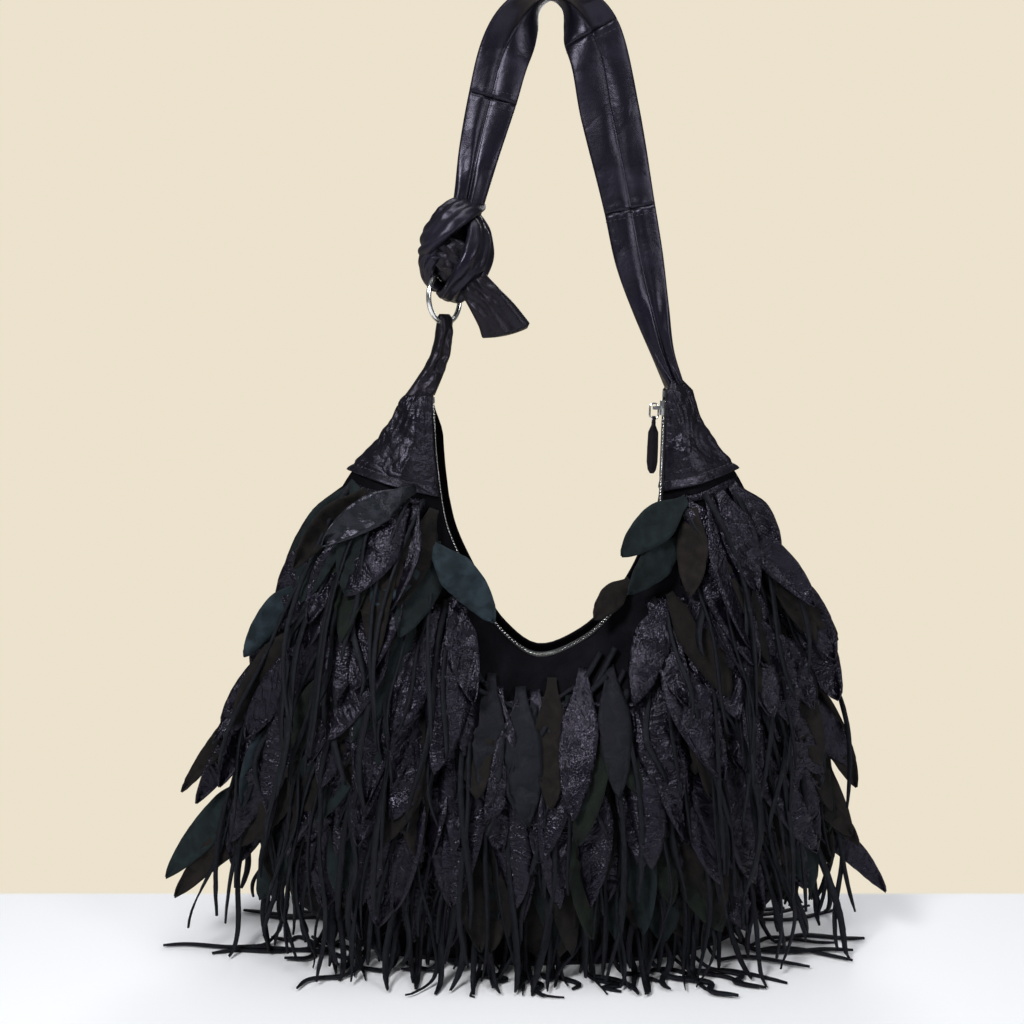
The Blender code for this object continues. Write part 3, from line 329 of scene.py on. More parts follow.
# Body leather: plain and matt black, so it falls back behind the leaves
plain = leather("matt_body_leather", "030304", "070709", grain=1.4, crease=24.0, grain_depth=0.05,
                crease_depth=0.3, roughness=0.66, Specular_IOR_Level=0.09)
# Nappa: smooth full grain with a soft blue-black sheen, so folds show more than grain
nappa = leather("strap_nappa", "0a0910", "171520", grain=1.1, crease=34.0, grain_depth=0.02,
                crease_depth=0.25, roughness=0.34, Specular_IOR_Level=0.42)
# Tail, tab and pull: the same nappa, warmer and duller where it is handled
worn_nappa = leather("worn_nappa", "060505", "110e0d", grain=1.1, crease=26.0, grain_depth=0.03,
                     crease_depth=0.3, roughness=0.4, Specular_IOR_Level=0.4)
# Lace leather: cut strips, matt, with a fibrous edge
lace = leather("lace_leather", "06090a", "0f1517", grain=0.9, crease=9.0, grain_depth=0.08,
               crease_depth=0.25, roughness=0.62, Specular_IOR_Level=0.25)
print("leathers ready")


# %% Suede
NAP_PATCH = 9.0 * MM
NAP_FIBRE = 1.1 * MM


def suede(name, dark, light):
    """Suede: a raised nap that scatters light, brushed in patches of about 9 mm, with 1 mm fibres."""
    material, tree, shader = new_finish(name, 0.88, Sheen_Weight=0.05, Sheen_Roughness=0.45,
                                        Specular_IOR_Level=0.2)
    shader.inputs["Sheen Tint"].default_value = linear("8fa0a8")
    coords = add_node(tree, "ShaderNodeTexCoord").outputs["Object"]
    patches = add_node(tree, "ShaderNodeTexNoise", {"Vector": coords, "Scale": 1.0 / NAP_PATCH, "Detail": 3.0,
                                                    "Distortion": 0.6})
    fibres = add_node(tree, "ShaderNodeTexNoise", {"Vector": coords, "Scale": 1.0 / NAP_FIBRE, "Detail": 2.0})
    height = add_node(tree, "ShaderNodeMath", {0: patches.outputs["Fac"], 1: 2.5, 2: fibres.outputs["Fac"]},
                      operation="MULTIPLY_ADD")
    bump = add_node(tree, "ShaderNodeBump", {"Height": height.outputs[0], "Strength": 0.8,
                                             "Distance": 0.35 * MM})
    brushed = add_node(tree, "ShaderNodeMapRange", {"Value": patches.outputs["Fac"], "From Min": 0.35,
                                                    "From Max": 0.65})
    base = blend_colours(tree, brushed.outputs[0], dark, light)
    tree.links.new(toned(tree, base), shader.inputs["Base Color"])
    tree.links.new(bump.outputs[0], shader.inputs["Normal"])
    return material


slate = suede("slate_suede", "151e23", "232f36")
teal = suede("teal_black_suede", "090f11", "121b1d")
brown = suede("brown_black_suede", "0a0807", "15110f")
green = suede("green_black_suede", "070c09", "0f1711")
print("suedes ready")


# %% Zip tape, thread and metal
# A wave texture at scale 1 repeats every 2 pi / 20 m
WAVE_PERIOD = 0.314


def woven(name, dark, light, pitch):
    """Woven tape: two crossed waves at the thread's pitch."""
    material, tree, shader = new_finish(name, 0.85)
    coords = add_node(tree, "ShaderNodeTexCoord").outputs["Object"]
    waves = []
    for way in ("X", "Z"):
        waves.append(add_node(tree, "ShaderNodeTexWave", {"Vector": coords, "Scale": WAVE_PERIOD / pitch},
                              bands_direction=way))
    height = add_node(tree, "ShaderNodeMath", {0: waves[0].outputs["Fac"], 1: waves[1].outputs["Fac"]},
                      operation="MAXIMUM")
    bump = add_node(tree, "ShaderNodeBump", {"Height": height.outputs[0], "Strength": 0.7,
                                             "Distance": 0.2 * MM})
    tree.links.new(blend_colours(tree, height.outputs[0], dark, light), shader.inputs["Base Color"])
    tree.links.new(bump.outputs[0], shader.inputs["Normal"])
    return material


def plated(name, colour, roughness):
    """Plated metal: bright, with faint cloudy wear about 3 mm across that varies its roughness."""
    material, tree, shader = new_finish(name, roughness, Metallic=1.0)
    coords = add_node(tree, "ShaderNodeTexCoord").outputs["Object"]
    wear = add_node(tree, "ShaderNodeTexNoise", {"Vector": coords, "Scale": 1.0 / (3 * MM), "Detail": 4.0})
    matt = add_node(tree, "ShaderNodeMapRange", {"Value": wear.outputs["Fac"], "From Min": 0.35,
                                                 "From Max": 0.7, "To Min": roughness * 0.7,
                                                 "To Max": roughness * 1.6})
    tree.links.new(matt.outputs[0], shader.inputs["Roughness"])
    tree.links.new(blend_colours(tree, wear.outputs["Fac"], colour, "f4f4f2"), shader.inputs["Base Color"])
    return material


tape_weave = woven("zip_tape_weave", "0d0d10", "1e1e23", 0.9 * MM)
thread = woven("sewing_thread", "1b1a20", "35323d", 0.5 * MM)
nickel = plated("bright_nickel", "dadada", 0.17)
print("tape, thread and metal ready")

# %% [markdown]
# The body. Its half depth grows from the side seams like a blown-up cushion, and from the mouth like a
# funnel, and the lesser of the two holds. The frame's panels follow the same rule, so this one function
# places the leather, the caps, the zip and every leaf.

# %% Body outline
GAP = 0.3 * MM
WALL = 2.4 * MM
BASE_THICKNESS = 3.0 * MM
MOUTH_HALF_DEPTH = 9.4 * MM
MOUTH_FLARE = 0.62
SEAM_ROUNDING = 45.0 * MM
SEAM_DEPTH = WALL + GAP / 2
BELLY_HEIGHTS = np.array([0.0, 40.0, 90.0, 150.0, 220.0, 400.0]) * MM
BELLY_DEPTHS = np.array([42.0, 50.0, 54.0, 52.0, 48.0, 44.0]) * MM
RIGHT_LEG_FOOT = np.array([84.5, 316.0]) * MM
RIGHT_LEG_TOP = np.array([86.5, 404.0]) * MM
MOUTH_POINTS = np.array([
    (-75.5, 400.0), (-72.0, 345.0), (-66.0, 308.0), (-50.0, 272.0), (-28.0, 233.0),
    (-3.0, 215.0), (30.0, 226.0), (58.0, 254.0), (76.0, 286.0),
]) * MM
LEFT_SIDE = np.array([
    (-93.0, 400.0), (-108.0, 374.0), (-132.0, 348.0), (-160.0, 290.0), (-186.0, 218.0),
    (-199.0, 143.0), (-198.0, 85.0), (-180.0, 30.0), (-148.0, 3.3),
]) * MM
RIGHT_SIDE = np.array([
    (102.0, 404.0), (114.0, 374.0), (136.0, 348.0), (160.0, 290.0), (181.0, 218.0),
    (190.0, 143.0), (189.0, 85.0), (172.0, 30.0), (143.0, 3.3),
]) * MM
leg = RIGHT_LEG_TOP - RIGHT_LEG_FOOT
MOUTH = np.vstack([spline(np.vstack([MOUTH_POINTS, RIGHT_LEG_FOOT]), 60, 2, unit(leg)), RIGHT_LEG_TOP])
MOUTH_LENGTH = run_length(MOUTH)[-1]
LEFT = spline(LEFT_SIDE, 40, 2)
RIGHT = spline(RIGHT_SIDE, 40, 2)
print("mouth length", round(MOUTH_LENGTH, 3))


# %% Body depth
def distance(points, line):
    """Shortest distance from each point to a line of straight runs."""
    start = line[:-1]
    run = line[1:] - start
    share = ((points[:, None] - start) * run).sum(-1) / (run * run).sum(-1)
    nearest = start + np.clip(share, 0.0, 1.0)[..., None] * run
    return np.linalg.norm(points[:, None] - nearest, axis=-1).min(axis=1)


def side_x(z):
    """The two side seams' x at a height."""
    return np.interp(z, LEFT[::-1, 1], LEFT[::-1, 0]), np.interp(z, RIGHT[::-1, 1], RIGHT[::-1, 0])


def mouth_distance(x, z):
    """Distance below or beside the mouth edge, 0 in the mouth itself."""
    far = distance(np.stack([x, z], axis=-1), MOUTH)
    leather_there = (z < np.interp(x, MOUTH[:, 0], MOUTH[:, 1])) | (x < MOUTH[0, 0]) | (x > MOUTH[-1, 0])
    return np.where(leather_there, far, 0.0)


def body_depth(x, z):
    """Half depth: (rounded^-6 + flared^-6)^(-1/6), the smooth lesser of the cushion and the funnel."""
    left, right = side_x(z)
    points = np.stack([x, z], axis=-1)
    seam = np.minimum(distance(points, LEFT), distance(points, RIGHT))
    seam = np.where((x > left) & (x < right), seam, 0.0)
    belly = np.interp(z, BELLY_HEIGHTS, BELLY_DEPTHS)
    rounded = SEAM_DEPTH + belly * (1.0 - np.exp(-seam / SEAM_ROUNDING))
    flared = MOUTH_HALF_DEPTH + MOUTH_FLARE * mouth_distance(x, z)
    return (rounded**-6 + flared**-6) ** (-1.0 / 6.0)


# The depth is worked out once, on a 2 mm grid wider than the fringe, and read from there
GRID_STEP = 2.0 * MM
GRID_X = np.arange(-0.31, 0.3101, GRID_STEP)
GRID_Z = np.arange(-0.01, 0.4301, GRID_STEP)
DEPTHS = np.array([body_depth(GRID_X, np.full_like(GRID_X, z)) for z in GRID_Z])


def depth_at(x, z):
    """Half depth at any place, from the four nearest points of the grid."""
    u = np.clip((x - GRID_X[0]) / GRID_STEP, 0.0, len(GRID_X) - 1.001)
    v = np.clip((z - GRID_Z[0]) / GRID_STEP, 0.0, len(GRID_Z) - 1.001)
    i, j = v.astype(int), u.astype(int)
    du, dv = u - j, v - i
    low = DEPTHS[i, j] * (1 - du) + DEPTHS[i, j + 1] * du
    high = DEPTHS[i + 1, j] * (1 - du) + DEPTHS[i + 1, j + 1] * du
    return low * (1 - dv) + high * dv


print("belly half depth", round(float(DEPTHS.max()), 4))

# %% [markdown]
# Panels. Front and back are two soft sheets sewn along the sides. Straight rulings from the mouth edge to the
# outer edge carry the grid, and soft crumples break its evenness away from the seams. Along the mouth each
# sheet is turned over into a welt, which stands highest at the back.

# %% Rulings and panels
CAP_WALL = 2.0 * MM
CAP_GAP = 0.5 * MM
CAP_NOSE = 1.0 * MM
CAP_MOUTH_LENGTH = 70.0 * MM
CAP_SIDE_LENGTH = 66.0 * MM
PANEL_FOOT = BASE_THICKNESS + GAP
# The two panels' inner faces come this near the middle plane along the side seams, so no light passes
SEAM_TOUCH = 0.01 * MM
# Across the panel: columns under one cap, and columns between the caps. Down it: rows, closer near the mouth
CAP_COLUMNS = 14
BODY_COLUMNS = 150
PANEL_ROWS = 46
# Crumples, broad and fine, by their size, and how far the leather may stand off the body
BROAD_CRUMPLE = 42.0 * MM
FINE_CRUMPLE = 15.0 * MM
CRUMPLE_LIMIT = 1.9 * MM
WELT_WIDTH = 9.0 * MM
OUTER = np.vstack([LEFT[:-1], [(LEFT[-1, 0], PANEL_FOOT), (RIGHT[-1, 0], PANEL_FOOT)], RIGHT[-2::-1]])
OUTER_LENGTH = run_length(OUTER)[-1]


def rulings(share):
    """Mouth point and outer point of the ruling at a share: -1 to 0 and 1 to 2 lie under the caps."""
    mouth_run = MOUTH_LENGTH - 2 * CAP_MOUTH_LENGTH
    outer_run = OUTER_LENGTH - 2 * CAP_SIDE_LENGTH
    under_left = np.minimum(share, 0.0)
    under_right = np.maximum(share, 1.0) - 1.0
    within = np.clip(share, 0.0, 1.0)
    mouth_place = CAP_MOUTH_LENGTH * (1.0 + under_left + under_right) + mouth_run * within
    outer_place = CAP_SIDE_LENGTH * (1.0 + under_left + under_right) + outer_run * within
    return resample(MOUTH, mouth_place, 2), resample(OUTER, outer_place, 2)


def make_panel(name, side, node, welt, seed):
    """Panel grid: y = side (depth + crumple), which fades out at its edges and under the caps. Along the
    mouth the edge stands up as a soft welt, exp(-(run / 9 mm)^2) high, so the far one shows over the zip."""
    share = np.concatenate([np.linspace(-1, 0, CAP_COLUMNS)[:-1], np.linspace(0, 1, BODY_COLUMNS),
                            np.linspace(1, 2, CAP_COLUMNS)[1:]])
    mouth, outer = rulings(share)
    v = np.linspace(0.0, 1.0, PANEL_ROWS)[None, :, None] ** 1.25
    down = v[..., 0]
    flat = mouth[:, None] * (1 - v) + outer[:, None] * v
    x, z = flat[..., 0], flat[..., 1]
    free = smooth_step(share, 0.0, 0.06) * (1.0 - smooth_step(share, 0.94, 1.0))
    free = free[:, None] * smooth_step(down, 0.0, 0.06) * (1.0 - smooth_step(down, 0.9, 1.0))
    crumple = ripple(np.stack([x, z], -1), BROAD_CRUMPLE, seed) * 1.2 * MM
    crumple += ripple(np.stack([x, z * 0.6], -1), FINE_CRUMPLE, seed + 1) * 0.55 * MM
    outside = depth_at(x, z) + free * np.minimum(crumple, CRUMPLE_LIMIT)
    run = np.linalg.norm(outer - mouth, axis=1)[:, None] * down
    ends = smooth_step(share, -0.95, -0.6) * (1.0 - smooth_step(share, 0.86, 1.0))
    rise = welt * ends[:, None] * np.exp(-(run / WELT_WIDTH) ** 2)
    up = unit(mouth - outer)[:, None]
    x = x + rise * up[..., 0]
    z = z + rise * up[..., 1]
    outside = outside + 0.3 * rise
    seam = smooth_step(down, 0.94, 1.0) * smooth_step(-outside, -5 * MM, -3 * MM)
    inside = (outside - WALL) * (1.0 - seam) + SEAM_TOUCH * seam
    front = np.stack([x, side * outside, z], -1)
    back = np.stack([x, side * inside, z], -1)
    return new_piece(name, [slab(front, back)], [plain], "bag", [node])


make_panel("front_leather", -1, "front_panel", 0.8 * MM, 3)
make_panel("back_leather", 1, "back_panel", 5.5 * MM, 7)


# %% [markdown]
# Stitches. A sewn seam reads as a line of short thread capsules a few millimetres long. Each has only six
# sides and four rings, because there are hundreds.

# %% Stitch rows
STITCH_SIDES = 6
# The four rings of a stitch: their places along it, and their sizes beside the thread's radius
STITCH_PLACES = np.array([0.04, 0.25, 0.75, 0.96])
STITCH_SIZES = np.array([0.35, 1.0, 1.0, 0.35])


def stitches(path, face, length=2.8 * MM, pitch=4.0 * MM, radius=0.32 * MM):
    """Capsules along a path, each four rings of cos(a) across and sin(a) out, partly sunk in the leather."""
    run = run_length(path)
    centres = np.arange(pitch / 2, run[-1], pitch)
    places = resample(path, centres)
    along = unit(resample(path, centres + pitch / 4) - resample(path, centres - pitch / 4))
    out = resample(face, np.interp(centres, run, run_length(face)))
    out = unit(out - (out * along).sum(-1, keepdims=True) * along)
    across = np.cross(along, out)
    angle = np.linspace(0, 2 * math.pi, STITCH_SIDES, endpoint=False)
    size = radius * STITCH_SIZES
    step = (STITCH_PLACES - 0.5) * length
    rings = (places[:, None, None] + along[:, None, None] * step[None, :, None, None]
             + across[:, None, None] * (size[:, None] * np.cos(angle))[None, ..., None]
             + out[:, None, None] * (size[:, None] * np.sin(angle) + radius * 0.4)[None, ..., None])
    ring_count = len(STITCH_PLACES)
    quads = repeated(tube_quads(ring_count, STITCH_SIDES), len(centres), ring_count * STITCH_SIDES)
    points = rings.reshape(-1, 3)
    return points, outward(points, quads)


# %% [markdown]
# Caps. Each horn is wrapped in a crinkled cap that is gathered towards its tip and ends in a turned, stitched
# hem. The grid runs once round the side seam, from the front mouth edge to the back one, and pinches deepen
# towards the tip where the leather is bunched.

# %% Caps
CAP_ROWS = 64
CAP_LENGTH = 68.0 * MM
CAP_SIDE_COLUMNS = 30
CAP_NOSE_COLUMNS = 11
PINCHES = 11.0
HEM_ROLL = 3.2 * MM
HEM_STITCH_LINE = 6.5 * MM
CROWN_ROWS = 8


def cap_surface(share, offset):
    """Sections at an offset outside the panels: the front, a rounded nose past the seam, and the back."""
    mouth, outer = rulings(share)
    v = np.linspace(0.0, 1.0, CAP_SIDE_COLUMNS)[None, :, None]
    flat = mouth[:, None] * (1 - v) + outer[:, None] * v
    depth = depth_at(flat[..., 0], flat[..., 1]) + offset
    front = np.stack([flat[..., 0], -depth, flat[..., 1]], -1)
    back = np.stack([flat[..., 0], depth, flat[..., 1]], -1)[:, ::-1]
    angle = np.linspace(-math.pi / 2, math.pi / 2, CAP_NOSE_COLUMNS)[1:-1]
    reach = (offset + CAP_NOSE) * np.cos(angle)
    end = outer[:, None] + unit(outer - mouth)[:, None] * reach[None, :, None]
    nose_depth = np.broadcast_to((SEAM_DEPTH + offset) * np.sin(angle), end.shape[:2])
    nose = np.stack([end[..., 0], nose_depth, end[..., 1]], -1)
    return np.concatenate([front, nose, back], axis=1)


def grid_normals(grid):
    """Unit directions square to a grid's two ways."""
    return unit(np.cross(np.gradient(grid, axis=0), np.gradient(grid, axis=1)) + 1e-12)


def cap_relief(base, from_tip, round_share, seed):
    """How far the leather stands off its smooth cone: pinches that deepen to the tip, crumples of 9 and
    22 mm, and a hem rolled over about 3 mm, with a groove where it is stitched."""
    edge = np.sin(math.pi * round_share) ** 0.35
    drift_place = np.stack([from_tip * 0.1 + 0 * round_share, round_share * 0.3 + 0 * from_tip], -1)
    pinch = 1.0 - np.abs(np.sin(math.pi * (PINCHES * round_share + 0.9 * ripple(drift_place, 0.08, seed))))
    crumple = ripple(base, 9 * MM, seed + 1) * 0.2 + ripple(base, 22 * MM, seed + 2) * 0.8
    lift = -1.5 * MM * pinch**2 * (1 - from_tip) * edge + 0.9 * MM * crumple * edge * (1.1 - 0.5 * from_tip)
    hem_down = (1.0 - from_tip) * CAP_LENGTH
    rolled = 0.9 * MM * np.exp(-(hem_down / HEM_ROLL) ** 4)
    groove = -1.0 * MM * np.exp(-((hem_down - HEM_STITCH_LINE) / (1.3 * MM)) ** 2)
    free = smooth_step(hem_down, 2 * MM, 8 * MM)
    return np.maximum(lift * free, -1.3 * MM) + rolled + groove


def crown(rows, tip_reach):
    """Rows above a cap's tip that draw in round what is sewn there, towards a point tip_reach away."""
    closing = np.linspace(1.0, 0.0, CROWN_ROWS + 1)[:-1, None, None]
    return rows[:1] + (rows[0].mean(axis=0) + tip_reach - rows[:1]) * 0.62 * closing**1.3


def make_cap(name, node, tip, hem, tip_reach, seed):
    """Cap: a shell from 0.5 to 2.5 mm outside the panels, with its relief on the outer side and a crown."""
    share = np.linspace(tip, hem, CAP_ROWS)
    base = cap_surface(share, CAP_GAP + CAP_WALL)
    inner = cap_surface(share, CAP_GAP)
    normals = grid_normals(base)
    centre = base.mean(axis=1, keepdims=True)
    normals *= np.sign(((base - centre) * normals).sum(-1).mean())
    round_share = np.linspace(0.0, 1.0, base.shape[1])[None, :]
    from_tip = np.linspace(0.0, 1.0, CAP_ROWS)[:, None]
    outer = base + normals * cap_relief(base, from_tip, round_share, seed)[..., None]
    row = int(round((1 - HEM_STITCH_LINE / CAP_LENGTH) * (CAP_ROWS - 1)))
    sewn = stitches(outer[row], normals[row])
    outer = np.concatenate([crown(outer, tip_reach), outer])
    inner = np.concatenate([crown(inner, tip_reach), inner])
    return new_piece(name, [slab(outer, inner), (*sewn, 1)], [gathered, thread], "bag",
                     [node])


make_cap("left_horn_cap", "left_cap", -1.0, 0.0, np.array([2.0, 0.0, 9.0]) * MM, 11)
make_cap("right_horn_cap", "right_cap", 2.0, 1.0, np.array([-2.0, 0.0, 12.0]) * MM, 17)

# %% [markdown]
# Zip. Two woven tapes are sewn inside the mouth's edges, and each carries a row of nickel teeth 2.4 mm apart.
# A tooth is a short eight-sided bar across the tape, so a whole row is one array of rings.

# %% Zip
TAPE_THICKNESS = 1.0 * MM
TEETH_WIDTH = 2.2 * MM
TEETH_HEIGHT = 2.5 * MM
TEETH_PITCH = 2.4 * MM
SLOT = 1.6 * MM
ZIP_SINK = 0.3 * MM
TAPE_BOW = 0.25 * MM
TEETH_MARGIN = 5.5 * MM
TOOTH_HALF_LENGTH = 0.42 * MM
# The four rings of a tooth: their places across the tape, and their sizes
TOOTH_PLACES = np.array([0.0, 0.15, 0.8, 1.0])
TOOTH_SIZES = np.array([0.62, 0.85, 1.0, 0.75])
TOOTH_SIDES = 8


def mouth_frame(places):
    """Points of the mouth edge with the direction along it and the one out of the bag."""
    line = resample(MOUTH, places, 2)
    along = unit(resample(MOUTH, np.minimum(places + MM, MOUTH_LENGTH), 2)
                 - resample(MOUTH, np.maximum(places - MM, 0.0), 2))
    flat = np.zeros(len(places))
    line = np.stack([line[:, 0], flat, line[:, 1]], -1)
    out = np.stack([-along[:, 1], flat, along[:, 0]], -1)
    return line, np.stack([along[:, 0], flat, along[:, 1]], -1), out


def make_tape(where, side):
    """Tape: a slab from the teeth to the panel, bowed by 0.25 mm sin(pi share)."""
    line, _, out = mouth_frame(np.linspace(0.0, MOUTH_LENGTH, 200))
    across = np.array([0.0, side, 0.0])
    inner = SLOT / 2 + TEETH_WIDTH + GAP
    outer = MOUTH_HALF_DEPTH - WALL - GAP
    share = np.linspace(0.0, 1.0, 6)
    wide = inner + (outer - inner) * share
    bow = TAPE_BOW * np.sin(math.pi * share)
    mid = line[:, None] + across * wide[None, :, None] + out[:, None] * (bow - ZIP_SINK)[None, :, None]
    front = mid + out[:, None] * TAPE_THICKNESS * 0.45
    back = mid - out[:, None] * TAPE_THICKNESS * 0.45
    new_piece(f"zip_tape_{where}_weave", [slab(front, back)], [tape_weave], "bag",
              [f"zip_tape_{where}"])


def make_teeth(where, side):
    """Teeth: bars whose rings narrow towards the slot. The two rows are half a pitch apart."""
    across = np.array([0.0, side, 0.0])
    count = int((MOUTH_LENGTH - 2 * TEETH_MARGIN) / TEETH_PITCH)
    places = TEETH_MARGIN + (np.arange(count) + (0.25 if side > 0 else 0.75)) * TEETH_PITCH
    line, along, out = mouth_frame(places)
    angle = (np.arange(TOOTH_SIDES) + 0.5) * 2 * math.pi / TOOTH_SIDES
    reach = TOOTH_PLACES * TEETH_WIDTH + SLOT / 2
    length = TOOTH_SIZES[:, None] * np.cos(angle) * TOOTH_HALF_LENGTH
    height = TOOTH_SIZES[:, None] * np.sin(angle) * TEETH_HEIGHT * 0.52 - ZIP_SINK
    rings = (line[:, None, None] + across * reach[None, :, None, None]
             + along[:, None, None] * length[None, ..., None] + out[:, None, None] * height[None, ..., None])
    ring_count = len(TOOTH_PLACES)
    quads = repeated(tube_quads(ring_count, TOOTH_SIDES), count, ring_count * TOOTH_SIDES)
    points = rings.reshape(-1, 3)
    new_piece(f"zip_teeth_{where}_row", [(points, outward(points, quads))], [nickel], "bag",
              [f"zip_teeth_{where}"])


for where, side in (("front", -1), ("back", 1)):
    make_tape(where, side)
    make_teeth(where, side)

# %% [markdown]
# Metal ring. A bright round wire bent into a ring and welded: a circle of 72 rings with 16 sides is smooth at
# any distance from which the bag is seen.

# %% Ring
RING_CENTRE = np.array([-66.5, 0.0, 467.0]) * MM
RING_RADIUS = 17.2 * MM
RING_WIRE = 1.75 * MM
RING_TURN = math.radians(55.0)
RING_AXIS = np.array([math.sin(RING_TURN), -math.cos(RING_TURN), 0.0])
RING_ACROSS = np.array([math.cos(RING_TURN), math.sin(RING_TURN), 0.0])
UP = np.array([0.0, 0.0, 1.0])


def make_ring():
    """Torus: centre + (R + r cos b)(cos a, sin a) in the ring's plane + r sin b along its axis."""
    a = np.linspace(0, 2 * math.pi, 72, endpoint=False)[:, None, None]
    b = np.linspace(0, 2 * math.pi, 16, endpoint=False)[None, :, None]
    out = np.cos(a) * RING_ACROSS + np.sin(a) * UP
    rings = RING_CENTRE + (RING_RADIUS + RING_WIRE * np.cos(b)) * out + RING_WIRE * np.sin(b) * RING_AXIS
    return new_piece("nickel_ring", [tube(rings, True)], [nickel], "ring", ["o_ring"])


make_ring()

# %% [markdown]
# Strap. A wide band of nappa is folded to the middle, so it is a flattened tube with a crease along it. Its
# lengths are joined by cross seams. Towards the ring and the right horn it is bunched, which the section's
# own ripples show. The frame's route, widths and turns are repeated here at a finer step.

# %% Strap sections
# Each place: x, y and z, width and thickness, in millimetres, and how far the width is turned out of the
# bag's plane, in degrees
STRAP_ROUTE = np.array([
    (-54.0, 0.0, 514.0, 19.0, 12.0, 0.0), (-50.0, 0.0, 529.0, 21.0, 11.0, 0.0),
    (-42.0, 0.0, 565.0, 28.0, 8.0, 0.0), (-33.0, 0.0, 599.0, 33.0, 7.0, 0.0),
    (-24.0, 0.0, 630.0, 35.0, 7.0, 12.0), (-13.0, 0.0, 651.0, 37.0, 7.0, 50.0),
    (-3.0, 0.0, 663.0, 39.0, 7.0, 85.0), (6.5, 0.0, 668.5, 40.0, 7.0, 90.0),
    (16.0, 0.0, 664.0, 40.0, 7.0, 85.0), (26.0, 0.0, 653.0, 39.0, 7.0, 50.0),
    (34.0, 0.0, 638.0, 39.0, 7.0, 12.0), (46.0, 0.0, 590.0, 40.0, 7.0, 0.0),
    (60.0, 0.0, 528.0, 35.0, 7.5, 0.0), (67.5, 0.0, 492.0, 33.0, 8.0, 0.0),
    (76.0, 0.0, 459.0, 25.0, 9.0, 0.0), (86.0, 0.0, 425.0, 15.0, 12.0, 0.0),
    (93.0, 0.0, 406.8, 13.0, 16.0, 0.0),
]) * np.array([MM, MM, MM, MM, MM, 1.0])
# Heights of the three cross seams: one on the left side, then two on the right
STRAP_SEAMS = (599.0 * MM, 641.0 * MM, 526.0 * MM)
ACROSS = np.array([0.0, 1.0, 0.0])
# The lengthwise crease lies this share of the half width to one side of the middle, and is this deep
CREASE_PLACE = -0.08
STRAP_CREASE = 0.92
STRAP_SIDES = 104
STRAP_STEP = 2.4 * MM
# The strap is bunched where it is narrower than the second width, and fully at the first
BUNCHED_WIDTHS = (15.0 * MM, 33.0 * MM)


def flat_section(centre, width_way, face_way, width, thickness, sides, crease, ripples):
    """Rings: across cos(a), through sign(sin a)|sin a|^0.6 times two soft lobes that meet in the crease.

    A lobe's height is (1 - u^2)^0.4 over its own half, and crease says how deep the lobes part.
    """
    a = np.linspace(0, 2 * math.pi, sides, endpoint=False)[None, :]
    across = np.cos(a) + 0 * width[:, None]
    parting = CREASE_PLACE
    half = np.where(across < parting, (1 + parting) / 2, (1 - parting) / 2)
    middle = np.where(across < parting, (parting - 1) / 2, (parting + 1) / 2)
    lobe = np.clip(1.0 - ((across - middle) / half) ** 2, 0.0, 1.0) ** 0.4
    near = np.exp(-(((across - parting) / 0.45) ** 4))
    depth = 1.0 - crease * near * (1.0 - lobe)
    through = np.sign(np.sin(a)) * np.abs(np.sin(a)) ** 0.6 * depth
    grow = 1.0 + ripples
    return (centre[:, None] + (across * width[:, None] / 2)[..., None] * width_way[:, None]
            + (through * grow * thickness[:, None] / 2)[..., None] * face_way[:, None])


def strap_route():
    """Fine route: place, width, thickness, then the directions of the width and of the face."""
    route = spline(STRAP_ROUTE, 900)
    along = unit(np.gradient(route[:, :3], axis=0))
    flat = unit(np.cross(ACROSS, along))
    turn = np.radians(route[:, 5:6])
    width_way = unit(np.cos(turn) * flat + np.sin(turn) * ACROSS)
    return np.hstack([route[:, :5], width_way, np.cross(along, width_way)])


def strap_places(route):
    """Distances along the strap of its ends and its three seams, found by their heights."""
    run = run_length(route[:, :3])
    top = int(np.argmax(route[:, 2]))
    left = np.interp(STRAP_SEAMS[0], route[:top, 2], run[:top])
    right = [np.interp(z, route[:top:-1, 2], run[:top:-1]) for z in STRAP_SEAMS[1:]]
    return [0.0, left, *right, run[-1]]


def strap_length(route, start, end, seed, seam_ends):
    """One sewn length: lengthwise ripples that deepen where it is narrow, and puckers beside its seams."""
    count = max(12, round((end - start) / STRAP_STEP))
    places = np.linspace(start, end, count)
    rows = resample(route, places)
    a = np.linspace(0, 2 * math.pi, STRAP_SIDES, endpoint=False)[None, :]
    narrow = 1.0 - smooth_step(rows[:, 3], *BUNCHED_WIDTHS)[:, None]
    drift = ripple(places[:, None], 120 * MM, seed)[:, None]
    gathers = np.sin(7 * np.cos(a) + 2.2 * drift) * np.sign(np.sin(a))
    place = np.stack([places[:, None] * 0.45 + 0 * a, np.cos(a) * 18 * MM + 0 * places[:, None],
                      np.sin(a) * 9 * MM + 0 * places[:, None]], -1)
    ripples = 0.16 * gathers * (0.25 + 1.1 * narrow) + 0.14 * ripple(place, 26 * MM, seed + 1)
    for seam, at in zip(seam_ends, (start, end)):
        near = np.abs(places - at)[:, None]
        if seam:
            ripples += 0.18 * np.exp(-(near / (3 * MM)) ** 2) * (1 + 0.6 * np.sin(11 * np.cos(a)))
            ripples -= 0.3 * np.exp(-(near / (0.9 * MM)) ** 2)
    return flat_section(rows[:, :3], rows[:, 5:8], rows[:, 8:11], rows[:, 3], rows[:, 4], STRAP_SIDES,
                        STRAP_CREASE, ripples)


